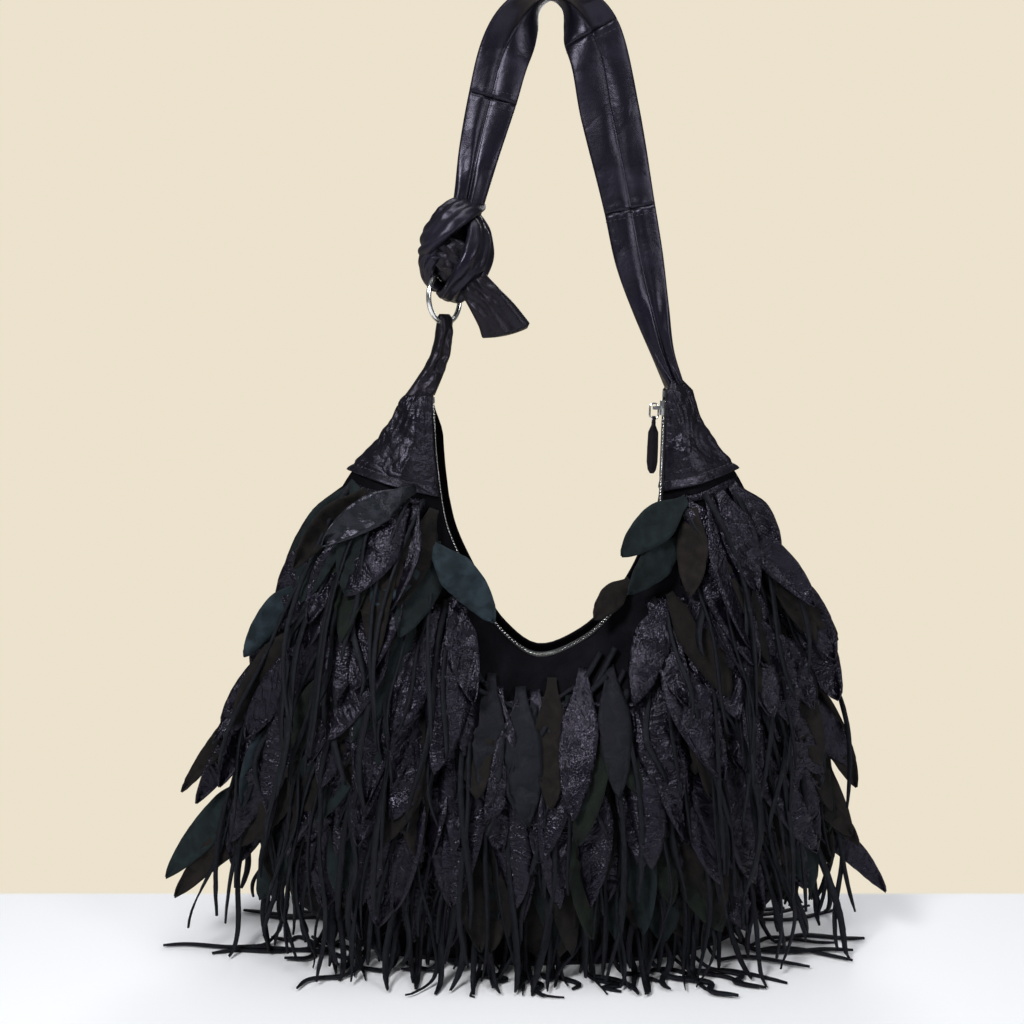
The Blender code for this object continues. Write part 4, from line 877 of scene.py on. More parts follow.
def seam_stitches(rings, row):
    """Stitches across the front and the back of a length, a little way from its seam."""
    ring = rings[row]
    half = len(ring) // 2
    parts = []
    for first in (half, 0):
        line = ring[first + 2:first + half - 1]
        face = np.broadcast_to(unit(line[len(line) // 2] - ring.mean(axis=0)), line.shape)
        parts.append(stitches(line, face + 1e-6 * line, 2.2 * MM, 3.2 * MM, 0.26 * MM))
    return parts


# %% [markdown]
# Knot. The strap's end passes through the ring, wraps round itself and hangs out in a flat tail. The frame
# has five turns round a rounded core, and each is rebuilt here as a folded band with ripples along it.

# %% Knot bands
KNOT_CORE = np.array([-60.0, 0.0, 500.0]) * MM
KNOT_RADII = np.array([17.0, 13.0, 25.0]) * MM
# Each place of a band: x, y and z, width and thickness, in millimetres
UPPER_BAND = [(-46, 6, 531, 18, 7), (-53, -10, 526, 24, 8), (-63, -16, 518, 27, 8), (-72, -13, 510, 27, 8),
              (-79, -1, 502, 22, 8), (-75, 9, 494, 15, 7)]
MIDDLE_BAND = [(-77, -4, 505, 18, 7), (-70, -12, 500, 22, 8), (-60, -15, 494, 25, 8), (-50, -14, 486, 24, 8),
               (-43, -8, 478, 18, 7)]
FRONT_BAND = [(-62, 7, 525, 16, 7), (-49, 1, 523, 20, 8), (-42, -9, 511, 24, 9), (-43, -17, 494, 27, 10),
              (-51, -18, 478, 25, 9), (-60, -10, 468, 19, 8), (-66, 2, 470, 14, 7)]
SIDE_LOBE = [(-64, -12, 500, 13, 7), (-74, -11, 496, 15, 8), (-78, -3, 486, 15, 8), (-74, 4, 477, 14, 8),
             (-64, 6, 474, 12, 7)]
TAIL = [(-54, -10, 490, 17, 10), (-46, -15, 476, 19, 10), (-38, -16, 465, 22, 10), (-30, -14, 454, 26, 10),
        (-23, -12, 443, 30, 9)]
BAND_SIDES = 56
RIM_RUN = 3.0 * MM
SLANT_RUN = 16.0 * MM


def knot_band(rows, seed, facing=None, crease=0.25, flared=False):
    """Band along a few points. It faces away from the core, or one given way, and is folded lengthwise.

    A flared band ends in a slanted, bowed rim: its last rings lose 0.24 u^2 of width and 0.72 u^3 of depth.
    """
    route = spline(np.array(rows, float) * MM, 60)
    path = route[:, :3]
    along = unit(np.gradient(path, axis=0))
    face = path - KNOT_CORE if facing is None else np.tile(facing, (len(path), 1))
    face = unit(face - (face * along).sum(-1, keepdims=True) * along)
    a = np.linspace(0, 2 * math.pi, BAND_SIDES, endpoint=False)[None, :]
    drift = ripple(path, 30 * MM, seed)[:, None]
    fine = ripple(path[:, None] + 9 * MM * np.cos(a)[..., None], 11 * MM, seed + 1)
    ripples = 0.2 * np.sin(8 * np.cos(a) + 2.5 * drift) + 0.12 * fine
    run = run_length(path)
    wide = route[:, 3].copy()
    deep = route[:, 4].copy()
    if flared:
        u = smooth_step(run, run[-1] - RIM_RUN, run[-1])
        wide *= 1.12 - 0.24 * u**2
        deep *= 1.0 - 0.72 * u**3
    rings = flat_section(path, np.cross(along, face), face, wide, deep, BAND_SIDES, crease, ripples)
    if flared:
        reach = smooth_step(run, run[-1] - SLANT_RUN, run[-1])
        slant = (1 - np.cos(a) ** 2) * 1.5 * MM - np.cos(a) * 4.5 * MM
        rings += along[:, None] * (reach[:, None] * slant)[..., None]
    return tube(rings)


def knot_core():
    """Ellipsoid x = c + r g cos(t) cos(a) whose slanting folds g run round it, closed by end rings."""
    t = np.radians(np.linspace(-84, 84, 40))[:, None]
    a = np.linspace(0, 2 * math.pi, 90, endpoint=False)[None, :]
    fold = 1.0 - 0.16 * (1.0 - np.abs(np.sin(2.5 * a + 2.6 * t + 0.5 * np.sin(3 * t)))) ** 2 * np.cos(t)
    ball = np.stack([fold * np.cos(t) * np.cos(a), fold * np.cos(t) * np.sin(a), np.sin(t) + 0 * a], -1)
    return tube(KNOT_CORE + ball * KNOT_RADII)


def knot_parts():
    """The core and the five bands, from the ones behind to the tail in front."""
    return [(*knot_core(), WORN), knot_band(UPPER_BAND, 61), knot_band(SIDE_LOBE, 64),
            (*knot_band(MIDDLE_BAND, 73), WORN), knot_band(FRONT_BAND, 70, None, 0.45),
            (*knot_band(TAIL, 67, (0.0, -1.0, 0.0), 0.7, True), WORN)]


# %% Strap pieces
# The strap's finishes, with the places of the worn nappa and the thread among them
STRAP_FINISHES = [nappa, worn_nappa, thread]
WORN = 1
SEWN = 2
STRAP_NAMES = ("strap_knotted_length", "strap_top_length", "strap_shoulder_length", "strap_sewn_length")
route = strap_route()
places = strap_places(route)
for k, node in enumerate(STRAP_NAMES):
    after_seam, before_seam = k > 0, k < len(STRAP_NAMES) - 1
    first = places[k] + (SEAM_TOUCH if after_seam else 0.0)
    last = places[k + 1] - (SEAM_TOUCH if before_seam else 0.0)
    rings = strap_length(route, first, last, 30 + 5 * k, (after_seam, before_seam))
    parts = [tube(rings)]
    if not after_seam:
        parts += knot_parts()
    seam_row = 2 if after_seam else len(rings) - 3
    parts += [(*part, SEWN) for part in seam_stitches(rings, seam_row)]
    new_piece(node.replace("length", "leather"), parts, STRAP_FINISHES, "bag", [node])

# %% [markdown]
# Ring tab. A short tube of leather rises from the left cap, is bunched tight, and turns over the ring. Its
# section swings from the bag's plane to the ring's as it climbs.

# %% Ring tab
RING_CLEARANCE = 0.55 * MM
TAB_WALL = 4.0 * MM
TAB_EYE_SHARE = 0.84
TAB_SIDES = 40
# The tab's widths and thicknesses at places along it, from its foot to its eye and the turn over the ring
TAB_STATIONS = (0.0, 0.16, 0.38, 0.62, TAB_EYE_SHARE, 0.95, 1.0)
TAB_WIDTHS = np.array([21.0, 18.0, 14.5, 13.0, 13.0, 12.4, 9.5]) * MM
TAB_THICKNESSES = np.array([20.0, 15.0, 11.0, 9.5, 9.0, 7.6, 4.2]) * MM


def make_tab():
    """Rings whose width turns by the ring's angle, with slanting gathers and a crease up the front."""
    foot = MOUTH_POINTS[0, 1] + GAP
    eye = RING_CENTRE[2] - RING_RADIUS
    top = eye + RING_WIRE + RING_CLEARANCE + TAB_WALL
    middle = (MOUTH_POINTS[0, 0] + LEFT_SIDE[0, 0]) / 2
    share = np.linspace(0.0, 1.0, 60)
    width = np.interp(share, TAB_STATIONS, TAB_WIDTHS)
    thick = np.interp(share, TAB_STATIONS, TAB_THICKNESSES)
    risen = np.minimum(1.0, share / TAB_EYE_SHARE)
    turn = RING_TURN * risen
    way = np.stack([np.cos(turn), np.sin(turn), 0 * turn], -1)
    lean = np.sin(risen * math.pi / 2)
    centre = np.stack([middle + (RING_CENTRE[0] - middle) * lean, 0 * share, foot + (top - foot) * share], -1)
    a = np.linspace(0, 2 * math.pi, TAB_SIDES, endpoint=False)[None, :]
    up = share[:, None]
    drift = ripple(up, 0.4, 81)[:, None]
    ripples = 0.2 * np.sin(5 * np.cos(a) + 3.0 * drift + 9 * up) * np.sin(math.pi * up)
    skin = centre[:, None] + 9 * MM * np.stack([np.cos(a), np.sin(a), 0 * a], -1)
    ripples += 0.07 * ripple(skin, 9 * MM, 83)
    rings = flat_section(centre, way, np.cross(UP, way), width, thick, TAB_SIDES, 0.2, ripples)
    return new_piece("ring_tab_leather", [tube(rings)], [worn_nappa], "bag", ["ring_tab"])


make_tab()

# %% [markdown]
# Kept pieces. The base panel, the zip's stops and slider, the small link and the leather pull keep the
# frame's own shapes, which hold all that is seen of them, and only take a finish here.

# %% Finishes of the frame's own pieces
for node, material in (("base_panel", crinkled), ("zip_bottom_stop", nickel), ("zip_top_stop", nickel),
                       ("zip_slider", nickel), ("pull_link", nickel), ("leather_pull", worn_nappa)):
    nodes[node].data.materials.clear()
    nodes[node].data.materials.append(material)

# %% [markdown]
# Fringe. Bands of leather with leaves and laces are sewn across the bag in rows, each row over the next. A
# leaf leaves its band at an angle, falls back towards upright under its weight, and stands a little further
# out than the one beside it. All the strips of a row are worked out at once as one array: strip, place along
# it, place across it.

# %% Strips as one array
# A strip starts this far off the panel's outer face, and stands out by this share of its drop
SKIN = 2.4 * MM
SLOPE = 0.16
# A row of the fringe rises by this share of the way beyond its flat middle
ROW_RISE = 0.25
ROW_FLAT = 70.0 * MM
HORN_LEVELS = np.array([320.0, 286.0, 252.0, 218.0]) * MM
LOWER_LEVELS = np.array([184.0, 149.0, 113.0, 77.0]) * MM
HEM_LEVEL = 44.0 * MM
# Rows keep clear of the mouth, and the lowest one on the horns by more, which leaves the plain band
MOUTH_CLEAR = 9.0 * MM
PLAIN_BAND = 24.0 * MM
SIDE_CLEAR = 3.0 * MM
HEADER_HEIGHT = 7.0 * MM
FLOOR_LIFT = 1.1 * MM
# A lace that runs out over the floor turns aside where it comes this far from the middle plane
REACH = 72.0 * MM
REACH_SPARE = 16.0 * MM
# Strips fan outwards from this far off the middle, and by the full angle after this span
FAN_ANGLE = math.radians(46.0)
FAN_START = 22.0 * MM
FAN_SPAN = 150.0 * MM
# A strip stands stiff for the first run below its root, comes to its own layer over the second, and meets the
# body and the floor in soft bends of the third and fourth
STIFF_RUN = 12.0 * MM
LAYER_RUN = 24.0 * MM
BODY_BEND = 2.5 * MM
FLOOR_BEND = 4.0 * MM
LEAST_HEIGHT = 0.15 * MM
# Waves along a strip, long and short
LONG_CRINKLE = 17.0 * MM
SHORT_CRINKLE = 9.5 * MM


def leaf_outline(s):
    """Half width share: a narrow root, the widest place a little before the middle, and a point."""
    root = 0.26 + 0.74 * smooth_step(s, 0.0, 0.42)
    point = np.clip((s - 0.38) / 0.62, 0.0, 1.0)
    return root * np.clip(1.0 - point**2.1, 0.0, 1.0) ** 0.72 + 0.035


def lace_outline(s):
    """Half width share: nearly even, with a slow wave, and narrower over its last 7%."""
    return 0.85 + 0.15 * np.cos(9.0 * s) - 0.35 * smooth_step(s, 0.93, 1.0)


def hanging_depth(value, s, x, z):
    """Depth of a strip: the body's, or a stiff fall from its root, whichever stands out further. The two
    blend as log(1 + exp(-|difference| / bend)), and the root itself stays on the body."""
    body = depth_at(x, np.clip(z, 0.0, None))
    fall = value["fall"] * np.maximum(value["length"] * s - STIFF_RUN, 0.0)
    stiff = depth_at(value["x"], value["z"]) - fall
    depth = np.maximum(body, stiff) + BODY_BEND * np.log1p(np.exp(-np.abs(body - stiff) / BODY_BEND))
    return np.where(body > stiff + 4 * BODY_BEND, body, depth) - BODY_BEND * math.log(2.0) * (s < 0.02)


def standing_out(value, phase, s, t, z, half, yaw):
    """How far a strip stands off the body: layer, curl across it, lift at its tip and crinkles."""
    gone = value["length"] * s
    drop = np.maximum(value["z"] - z, 0.0)
    outside = SKIN + SLOPE * drop + value["layer"] * np.minimum(1.0, gone / LAYER_RUN)
    outside = outside + value["curl"] * t * t * smooth_step(s, 0.05, 0.5)
    outside = outside + value["lift"] * s**3 + np.sin(yaw) * t * half
    crinkle = (np.sin(gone * 2 * math.pi / LONG_CRINKLE + phase[:, 1] + 1.6 * t)
               + 0.8 * np.sin(gone * 2 * math.pi / SHORT_CRINKLE + phase[:, 2] - 2.3 * t)
               + 0.9 * np.sin(3.0 * t + phase[:, 3] + 3.0 * s))
    return outside + value["crinkle"] * crinkle * smooth_step(s, 0.02, 0.15)


def settle(value, x, y, z):
    """Strip eased onto the floor: what would sink below it runs outwards, and aside where that is too far."""
    below = z - FLOOR_LIFT - value["rest"]
    bend = FLOOR_BEND * np.log1p(np.exp(np.clip(below, -0.2, 0.1) / FLOOR_BEND))
    landed = np.where(below > 0.1, below, bend)
    spread = np.maximum(landed - below, 0.0)
    z = landed + FLOOR_LIFT + value["rest"]
    y = y + spread * 0.75
    x = x + spread * 0.25 * np.sin(value["turn1"] * 1.6 + value["splay"])
    over = np.maximum(y - REACH, 0.0)
    y = y - over + REACH_SPARE * np.tanh(over / REACH_SPARE)
    x = x + np.sign(value["splay"] + 1e-9) * np.maximum(over - REACH_SPARE, 0.0) * 0.8
    return x, y, z


def cut_places(random, value, s, t, half):
    """Each point's place in the hide that its strip was cut from, at a seeded slant, on both faces."""
    count = len(half)
    lean = random.uniform(-1.1, 1.1, count)[:, None, None]
    long = value["length"] * s + 0 * t
    wide = half * t
    apart = 0 * long + 0.05 * np.arange(count)[:, None, None]
    cut = np.stack([long * np.cos(lean) + wide * np.sin(lean), wide * np.cos(lean) - long * np.sin(lean),
                    apart], -1).reshape(count, -1, 3)
    return np.concatenate([cut, cut], axis=1)


def hanging_strips(strips, side, shape, across_count, along_count, thickness, seed):
    """Slabs of many strips. The middle line runs at an angle that eases from turn0 to turn1, and the width
    lies square to it and is turned out by yaw."""
    random = np.random.default_rng(seed)
    count = len(strips["x"])
    value = {key: np.asarray(array, float)[:, None, None] for key, array in strips.items()}
    s = np.linspace(0.0, 1.0, along_count)[None, :, None]
    t = np.linspace(-1.0, 1.0, across_count)[None, None, :]
    turn = value["turn0"] + (value["turn1"] - value["turn0"]) * s
    phase = random.uniform(0, 2 * math.pi, (count, 6))[:, :, None, None]
    sway = value["sway"] * s * np.sin(value["waves"] * math.pi * s + phase[:, 0])
    half = value["width"] / 2 * shape(s)
    yaw = value["yaw"] + value["twist"] * s * s
    gone = value["length"] * s
    x = value["x"] + gone * np.sin(turn) + sway * np.cos(turn) + t * half * np.cos(turn) * np.cos(yaw)
    z = value["z"] - gone * np.cos(turn) + sway * np.sin(turn) + t * half * np.sin(turn) * np.cos(yaw)
    y = hanging_depth(value, s, x, z) + standing_out(value, phase, s, t, z, half, yaw)
    x, y, z = settle(value, x, y, z)
    middle = np.stack([x, side * y, z], -1)
    normal = unit(np.cross(np.gradient(middle, axis=1), np.gradient(middle, axis=2)) + 1e-12)
    front = middle + normal * thickness / 2
    back = middle - normal * thickness / 2
    points = np.concatenate([front.reshape(count, -1, 3), back.reshape(count, -1, 3)], axis=1)
    points[..., 2] = np.maximum(points[..., 2], LEAST_HEIGHT)
    return points, slab_quads(along_count, across_count), cut_places(random, value, s, t, half)


def strip_part(points, quads, chosen, finish):
    """The chosen strips as one part with one finish."""
    flat = points[chosen].reshape(-1, 3)
    return flat, outward(flat, repeated(quads, len(chosen), points.shape[1])), finish


# %% Random rows
LEAF_FINISHES = [crinkled, brown, teal, slate, green, lace, slick]
SHINE, BROWN, TEAL, SLATE, GREEN, MATT, SLICK = range(len(LEAF_FINISHES))
# Shares of a row's leaves that are crinkled, brown, teal, slate and green
LEAF_SHARES = (0.58, 0.26, 0.09, 0.01, 0.06)
LEAF_THICKNESS = 1.0 * MM
LACE_THICKNESS = 1.3 * MM
LEAST_SPAN = 29.0 * MM


def row_height(x, level):
    """Height of a row's band: level in the middle, and rising by a quarter beyond 70 mm to each side."""
    return level + ROW_RISE * np.maximum(np.abs(x) - ROW_FLAT, 0.0)


def row_spans(level, clear):
    """Stretches of x that a row covers: all across, or one on each horn where the mouth parts it."""
    x = np.arange(LEFT_SIDE[:, 0].min(), RIGHT_SIDE[:, 0].max(), MM)
    z = row_height(x, level) + HEADER_HEIGHT
    left, right = side_x(z)
    covered = (mouth_distance(x, z) > clear) & (x > left + SIDE_CLEAR) & (x < right - SIDE_CLEAR)
    edges = np.flatnonzero(np.diff(np.concatenate([[0], covered.astype(int), [0]])))
    spans = [(x[a], x[b - 1]) for a, b in zip(edges[::2], edges[1::2])]
    return [span for span in spans if span[1] - span[0] > LEAST_SPAN]


def fan(x, level):
    """Angle of the strips: outwards at the sides, a little inwards in the middle."""
    share = np.clip((np.abs(x) - FAN_START) / FAN_SPAN, -0.15, 1.0)
    return np.sign(x) * FAN_ANGLE * share * (0.62 + 0.38 * level / HORN_LEVELS[0])


def draw_leaves(random, span, level, pitch=12.5 * MM):
    """Leaves of a row: two ranks, one over the other, with seeded lengths, turns and curls.

    A leaf is 58 to 104 mm long but ends above the floor, and all but the top row's start up to 16 mm higher.
    """
    count = max(3, round((span[1] - span[0]) / pitch))
    x = np.linspace(span[0] + 3 * MM, span[1] - 3 * MM, count) + random.uniform(-3, 3, count) * MM
    turn = fan(x, level) + random.normal(0, 0.16, count)
    length = np.minimum(random.uniform(58, 104, count) * MM, level - random.uniform(8, 24, count) * MM)
    rise = np.where(level < HORN_LEVELS[0], 16 * MM, 4 * MM)
    return {
        "x": x, "z": row_height(x, level) + MM + rise * random.uniform(0, 1, count), "length": length,
        "width": random.uniform(20, 32, count) * MM,
        "turn0": turn, "turn1": turn * 0.8 + random.normal(0, 0.08, count),
        "layer": (np.arange(count) % 2) * 2.6 * MM + random.uniform(0, 2, count) * MM,
        "curl": random.normal(0.4, 1.6, count) * MM, "lift": random.uniform(-1, 8, count) * MM,
        "yaw": random.normal(0, 0.25, count), "twist": random.normal(0, 0.45, count),
        "crinkle": random.uniform(0.35, 0.95, count) * MM, "sway": random.uniform(-4, 4, count) * MM,
        "waves": random.uniform(0.8, 1.6, count), "fall": random.uniform(0.1, 0.4, count),
        "rest": random.uniform(0, 1, count) * MM, "splay": random.normal(0, 0.6, count),
    }


def draw_laces(random, span, level, pitch=11.0 * MM):
    """Laces of a row: narrow, 70 to 175 mm long, and swaying more than the leaves."""
    count = max(2, round((span[1] - span[0]) / pitch))
    x = np.linspace(span[0] + 2 * MM, span[1] - 2 * MM, count) + random.uniform(-4, 4, count) * MM
    turn = fan(x, level) * 0.95 + random.normal(0, 0.1, count)
    return {
        "x": x, "z": row_height(x, level) + random.uniform(0, 9, count) * MM,
        "length": np.minimum(random.uniform(70, 175, count) * MM, level + random.uniform(5, 40, count) * MM),
        "width": random.uniform(2.8, 5.0, count) * MM,
        "turn0": turn, "turn1": turn * 0.45 + random.normal(0, 0.05, count),
        "layer": random.uniform(0.5, 8.0, count) * MM, "curl": np.full(count, 0.2 * MM),
        "lift": random.uniform(-1, 7, count) * MM, "yaw": random.normal(0, 0.4, count),
        "twist": random.normal(0, 1.0, count), "crinkle": random.uniform(0.1, 0.35, count) * MM,
        "sway": random.uniform(-9, 9, count) * MM, "waves": random.uniform(1.2, 2.8, count),
        "fall": random.uniform(0.05, 0.35, count), "rest": random.uniform(0, 2.5, count) * MM,
        "splay": random.normal(0, 0.8, count),
    }


def header_band(span, level, side):
    """Band along a row: a slab about 5 mm high and 1.3 mm thick, on the panel under the strips' roots."""
    x = np.linspace(span[0], span[1], max(12, round((span[1] - span[0]) / (5 * MM))))[:, None]
    wave = 1.2 * MM * np.sin(x / (9 * MM) + level / MM)
    z = row_height(x, level) + wave + np.array([0.15, 0.5, 0.85]) * HEADER_HEIGHT
    x = x + 0 * z
    depth = depth_at(x, z)
    front = np.stack([x, side * (depth + 2.3 * MM), z], -1)
    back = np.stack([x, side * (depth + 1.0 * MM), z], -1)
    return (*slab(front, back), SHINE)


def make_row(name, node, side, span, level, seed, extra=()):
    """Row piece: band, leaves in their finishes, laces and any strips given one by one, each with its tone."""
    random = np.random.default_rng(seed)
    leaves = draw_leaves(random, span, level)
    laces = draw_laces(random, span, level)
    band = header_band(span, level, side)
    pieces = [(band, np.zeros(len(band[0])), band[0])]
    points, quads, cut = hanging_strips(leaves, side, leaf_outline, 7, 20, LEAF_THICKNESS, seed + 1)
    kind = random.choice(len(LEAF_SHARES), len(points), p=LEAF_SHARES)
    for finish in range(len(LEAF_SHARES)):
        chosen = np.flatnonzero(kind == finish)
        if len(chosen):
            tone = np.repeat(random.uniform(-0.5, 0.7, len(chosen)), points.shape[1])
            pieces.append((strip_part(points, quads, chosen, finish), tone, cut[chosen].reshape(-1, 3)))
    points, quads, cut = hanging_strips(laces, side, lace_outline, 3, 26, LACE_THICKNESS, seed + 2)
    tone = np.repeat(random.uniform(-0.4, 0.6, len(points)), points.shape[1])
    pieces.append((strip_part(points, quads, np.arange(len(points)), MATT), tone, cut.reshape(-1, 3)))
    pieces += [(part, np.full(len(part[0]), tone), place) for part, tone, place in extra]
    parts, tones, cuts = zip(*pieces)
    return new_piece(name, parts, LEAF_FINISHES, "bag", [node],
                     np.concatenate(tones), np.concatenate(cuts))


# %% [markdown]
# Some leaves are placed one by one, because they give the bag its outline and its accents: the slate and teal
# suede ones that lap over the mouth's edges, and the ones that stand out at the sides. Each row gives the
# root and the tip in x and z, the width, how far the leaf stands out, and its finish, in millimetres.

# %% Leaves placed one by one
PLACED = {
    "front_fringe_left_1": [
        (-86, 338, -148, 299, 24, 11, SLICK), (-92, 327, -130, 266, 31, 6, SHINE),
        (-120, 336, -172, 284, 20, 2, BROWN), (-74, 322, -96, 262, 24, 3, BROWN),
    ],
    "front_fringe_left_2": [
        (-78, 300, -33, 246, 24, 8, SLATE), (-82, 303, -112, 262, 27, 5, SLATE),
        (-162, 272, -209, 219, 21, 2, SLATE), (-92, 290, -128, 208, 29, 6, SHINE),
    ],
    "front_fringe_left_3": [(-100, 256, -142, 172, 30, 6, SHINE), (-62, 262, -46, 196, 22, 4, SHINE)],
    "front_fringe_left_4": [
        (-176, 226, -226, 170, 19, 2, SHINE), (-186, 200, -254, 121, 15, 2, BROWN),
        (-118, 222, -150, 140, 30, 7, SHINE),
    ],
    "front_fringe_lower_2": [
        (-194, 132, -268, 56, 24, 2, TEAL), (-188, 112, -262, 42, 20, 1, BROWN),
        (186, 168, 205, 92, 26, 4, GREEN), (180, 128, 228, 80, 17, 2, BROWN),
        (184, 104, 250, 47, 18, 2, SHINE),
    ],
    "front_fringe_lower_1": [
        (-74, 188, -100, 120, 28, 7, SHINE), (66, 190, 90, 128, 27, 6, SHINE),
        (-34, 208, -38, 130, 22, 3, MATT), (-14, 198, -12, 116, 25, 5, MATT), (8, 203, 6, 128, 22, 3, BROWN),
        (30, 211, 22, 122, 25, 5, SHINE), (48, 214, 52, 136, 22, 3, MATT),
    ],
    "front_fringe_right_1": [
        (100, 330, 55, 292, 25, 9, TEAL), (122, 336, 147, 270, 24, 6, SHINE),
        (104, 326, 100, 268, 20, 3, BROWN),
    ],
    "front_fringe_right_2": [
        (98, 302, 58, 268, 24, 8, TEAL), (62, 272, 38, 246, 17, 6, BROWN), (152, 288, 208, 230, 18, 2, BROWN),
        (116, 294, 142, 214, 29, 6, SHINE),
    ],
    "front_fringe_right_3": [(88, 262, 62, 196, 27, 6, SHINE), (140, 256, 176, 176, 29, 5, SHINE)],
    "front_fringe_right_4": [(160, 226, 196, 142, 27, 4, BROWN), (100, 226, 118, 150, 28, 6, SHINE)],
}


def placed_leaves(rows, side, seed):
    """Leaves from a root to a tip: each starts 18% more slanted than the line to its tip and eases to it."""
    table = np.array(rows, float)
    random = np.random.default_rng(seed)
    count = len(table)
    root_x, root_z, tip_x, tip_z = table[:, :4].T * MM
    turn = np.arctan2(tip_x - root_x, root_z - tip_z)
    strips = {
        "x": root_x, "z": root_z, "length": np.hypot(tip_x - root_x, tip_z - root_z),
        "width": table[:, 4] * MM, "turn0": turn * 1.18, "turn1": turn, "layer": table[:, 5] * MM,
        "curl": random.normal(0.6, 1.2, count) * MM, "lift": random.uniform(1, 5, count) * MM,
        "yaw": random.normal(0, 0.18, count), "twist": random.normal(0, 0.3, count),
        "crinkle": random.uniform(0.5, 0.95, count) * MM, "sway": random.uniform(-3, 3, count) * MM,
        "waves": np.ones(count), "fall": np.full(count, 0.12), "rest": np.zeros(count),
        "splay": np.zeros(count),
    }
    points, quads, cut = hanging_strips(strips, side, leaf_outline, 9, 26, 1.1 * MM, seed + 1)
    return [(strip_part(points, quads, [k], int(table[k, 6])), random.uniform(-0.2, 0.8), cut[k])
            for k in range(count)]


# %% Laces over the plain band
# Each lace is a curve through a few places in x and z, in millimetres, and is used on both faces
BAND_LACES = [
    [(-46, 236), (-44, 211), (-31, 192), (-21, 178), (-19, 142)],
    [(-50, 222), (-47, 190), (-50, 160), (-38, 118)],
    [(-38, 204), (-33, 190), (-26, 160), (-30, 120)],
    [(42, 222), (30, 204), (10, 189), (0, 150), (-2, 106)],
    [(52, 226), (34, 196), (16, 178), (8, 140), (10, 112)],
    [(46, 208), (26, 190), (4, 176), (-10, 150)],
    [(58, 212), (44, 186), (24, 168), (22, 128)],
    [(-54, 214), (-40, 184), (-8, 168), (-4, 130)],
    [(60, 200), (48, 170), (40, 140), (44, 104)],
    [(-60, 206), (-58, 170), (-64, 134), (-60, 100)],
    [(36, 196), (14, 186), (-14, 174), (-16, 136)],
    [(-44, 200), (-14, 184), (6, 172), (14, 144)],
]


def band_laces(paths, side, seed):
    """Ribbons along curves in x and z that lie on the body, each a little farther out than the last."""
    random = np.random.default_rng(seed)
    out = []
    share = np.linspace(0, 1, 40)
    t = np.linspace(-1, 1, 3)[None, :, None]
    for k, path in enumerate(paths):
        line = spline(np.array(path, float) * MM, len(share), 2)
        along = unit(np.gradient(line, axis=0))
        across = np.stack([along[:, 1], -along[:, 0]], -1)
        half = random.uniform(1.4, 2.2) * MM * lace_outline(share)
        flat = line[:, None] + across[:, None] * t * half[:, None, None]
        depth = depth_at(flat[..., 0], flat[..., 1])
        lift = (3.0 + 0.55 * (k % 6)) * MM + 5 * MM * smooth_step(share, 0.45, 0.8)[:, None]
        front = np.stack([flat[..., 0], side * (depth + lift + 1.2 * MM), flat[..., 1]], -1)
        back = np.stack([flat[..., 0], side * (depth + lift), flat[..., 1]], -1)
        points, quads = slab(front, back)
        out.append(((points, quads, MATT), random.uniform(-0.3, 0.4), points))
    return out


# %% Fringe rows
for face, side in (("front", -1), ("back", 1)):
    seed = 100 if side < 0 else 400
    for k, level in enumerate(HORN_LEVELS):
        clear = PLAIN_BAND if k == len(HORN_LEVELS) - 1 else MOUTH_CLEAR
        for where, span in zip(("left", "right"), row_spans(level, clear)):
            node = f"{face}_fringe_{where}_{k + 1}"
            placed = placed_leaves(PLACED[node], side, seed + 3) if node in PLACED else ()
            make_row(node.replace("fringe", "leaves"), node, side, span, level, seed, placed)
            seed += 7
    for k, level in enumerate(LOWER_LEVELS):
        span = row_spans(level, MOUTH_CLEAR)[0]
        node = f"{face}_fringe_lower_{k + 1}"
        placed = placed_leaves(PLACED[node], side, seed + 3) if node in PLACED else []
        if k == 0:
            placed = placed + band_laces(BAND_LACES, side, seed + 4)
        make_row(node.replace("fringe", "leaves"), node, side, span, level, seed, placed)
        seed += 7

# %% [markdown]
# Floor laces. The lowest row's laces are long enough to reach the floor, where they lie in loose curves. Each
# is a ribbon along a path: down the body, round a bend, and out over the floor to its end.

# %% Floor laces
# Half of the span in x that the ends are spread over, in millimetres
FLOOR_REACH = 274.0
FLOOR_ROWS = 46
# Where the front laces end on the floor, in x and away from the middle plane, in millimetres
FRONT_ENDS = [
    (-274, 19), (-236, 29), (-216, 22), (-198, 6), (-182, 38), (-168, 6), (-166, 77), (-133, 55), (-98, 52),
    (-65, 44), (-43, 62), (-32, 68), (-13, 79), (1, 86), (21, 76), (54, 79), (65, 84), (82, 68), (109, 68),
    (132, 86), (147, 75), (153, 75), (169, 68), (189, 50), (216, 17), (222, 40), (226, 27), (240, 8),
]


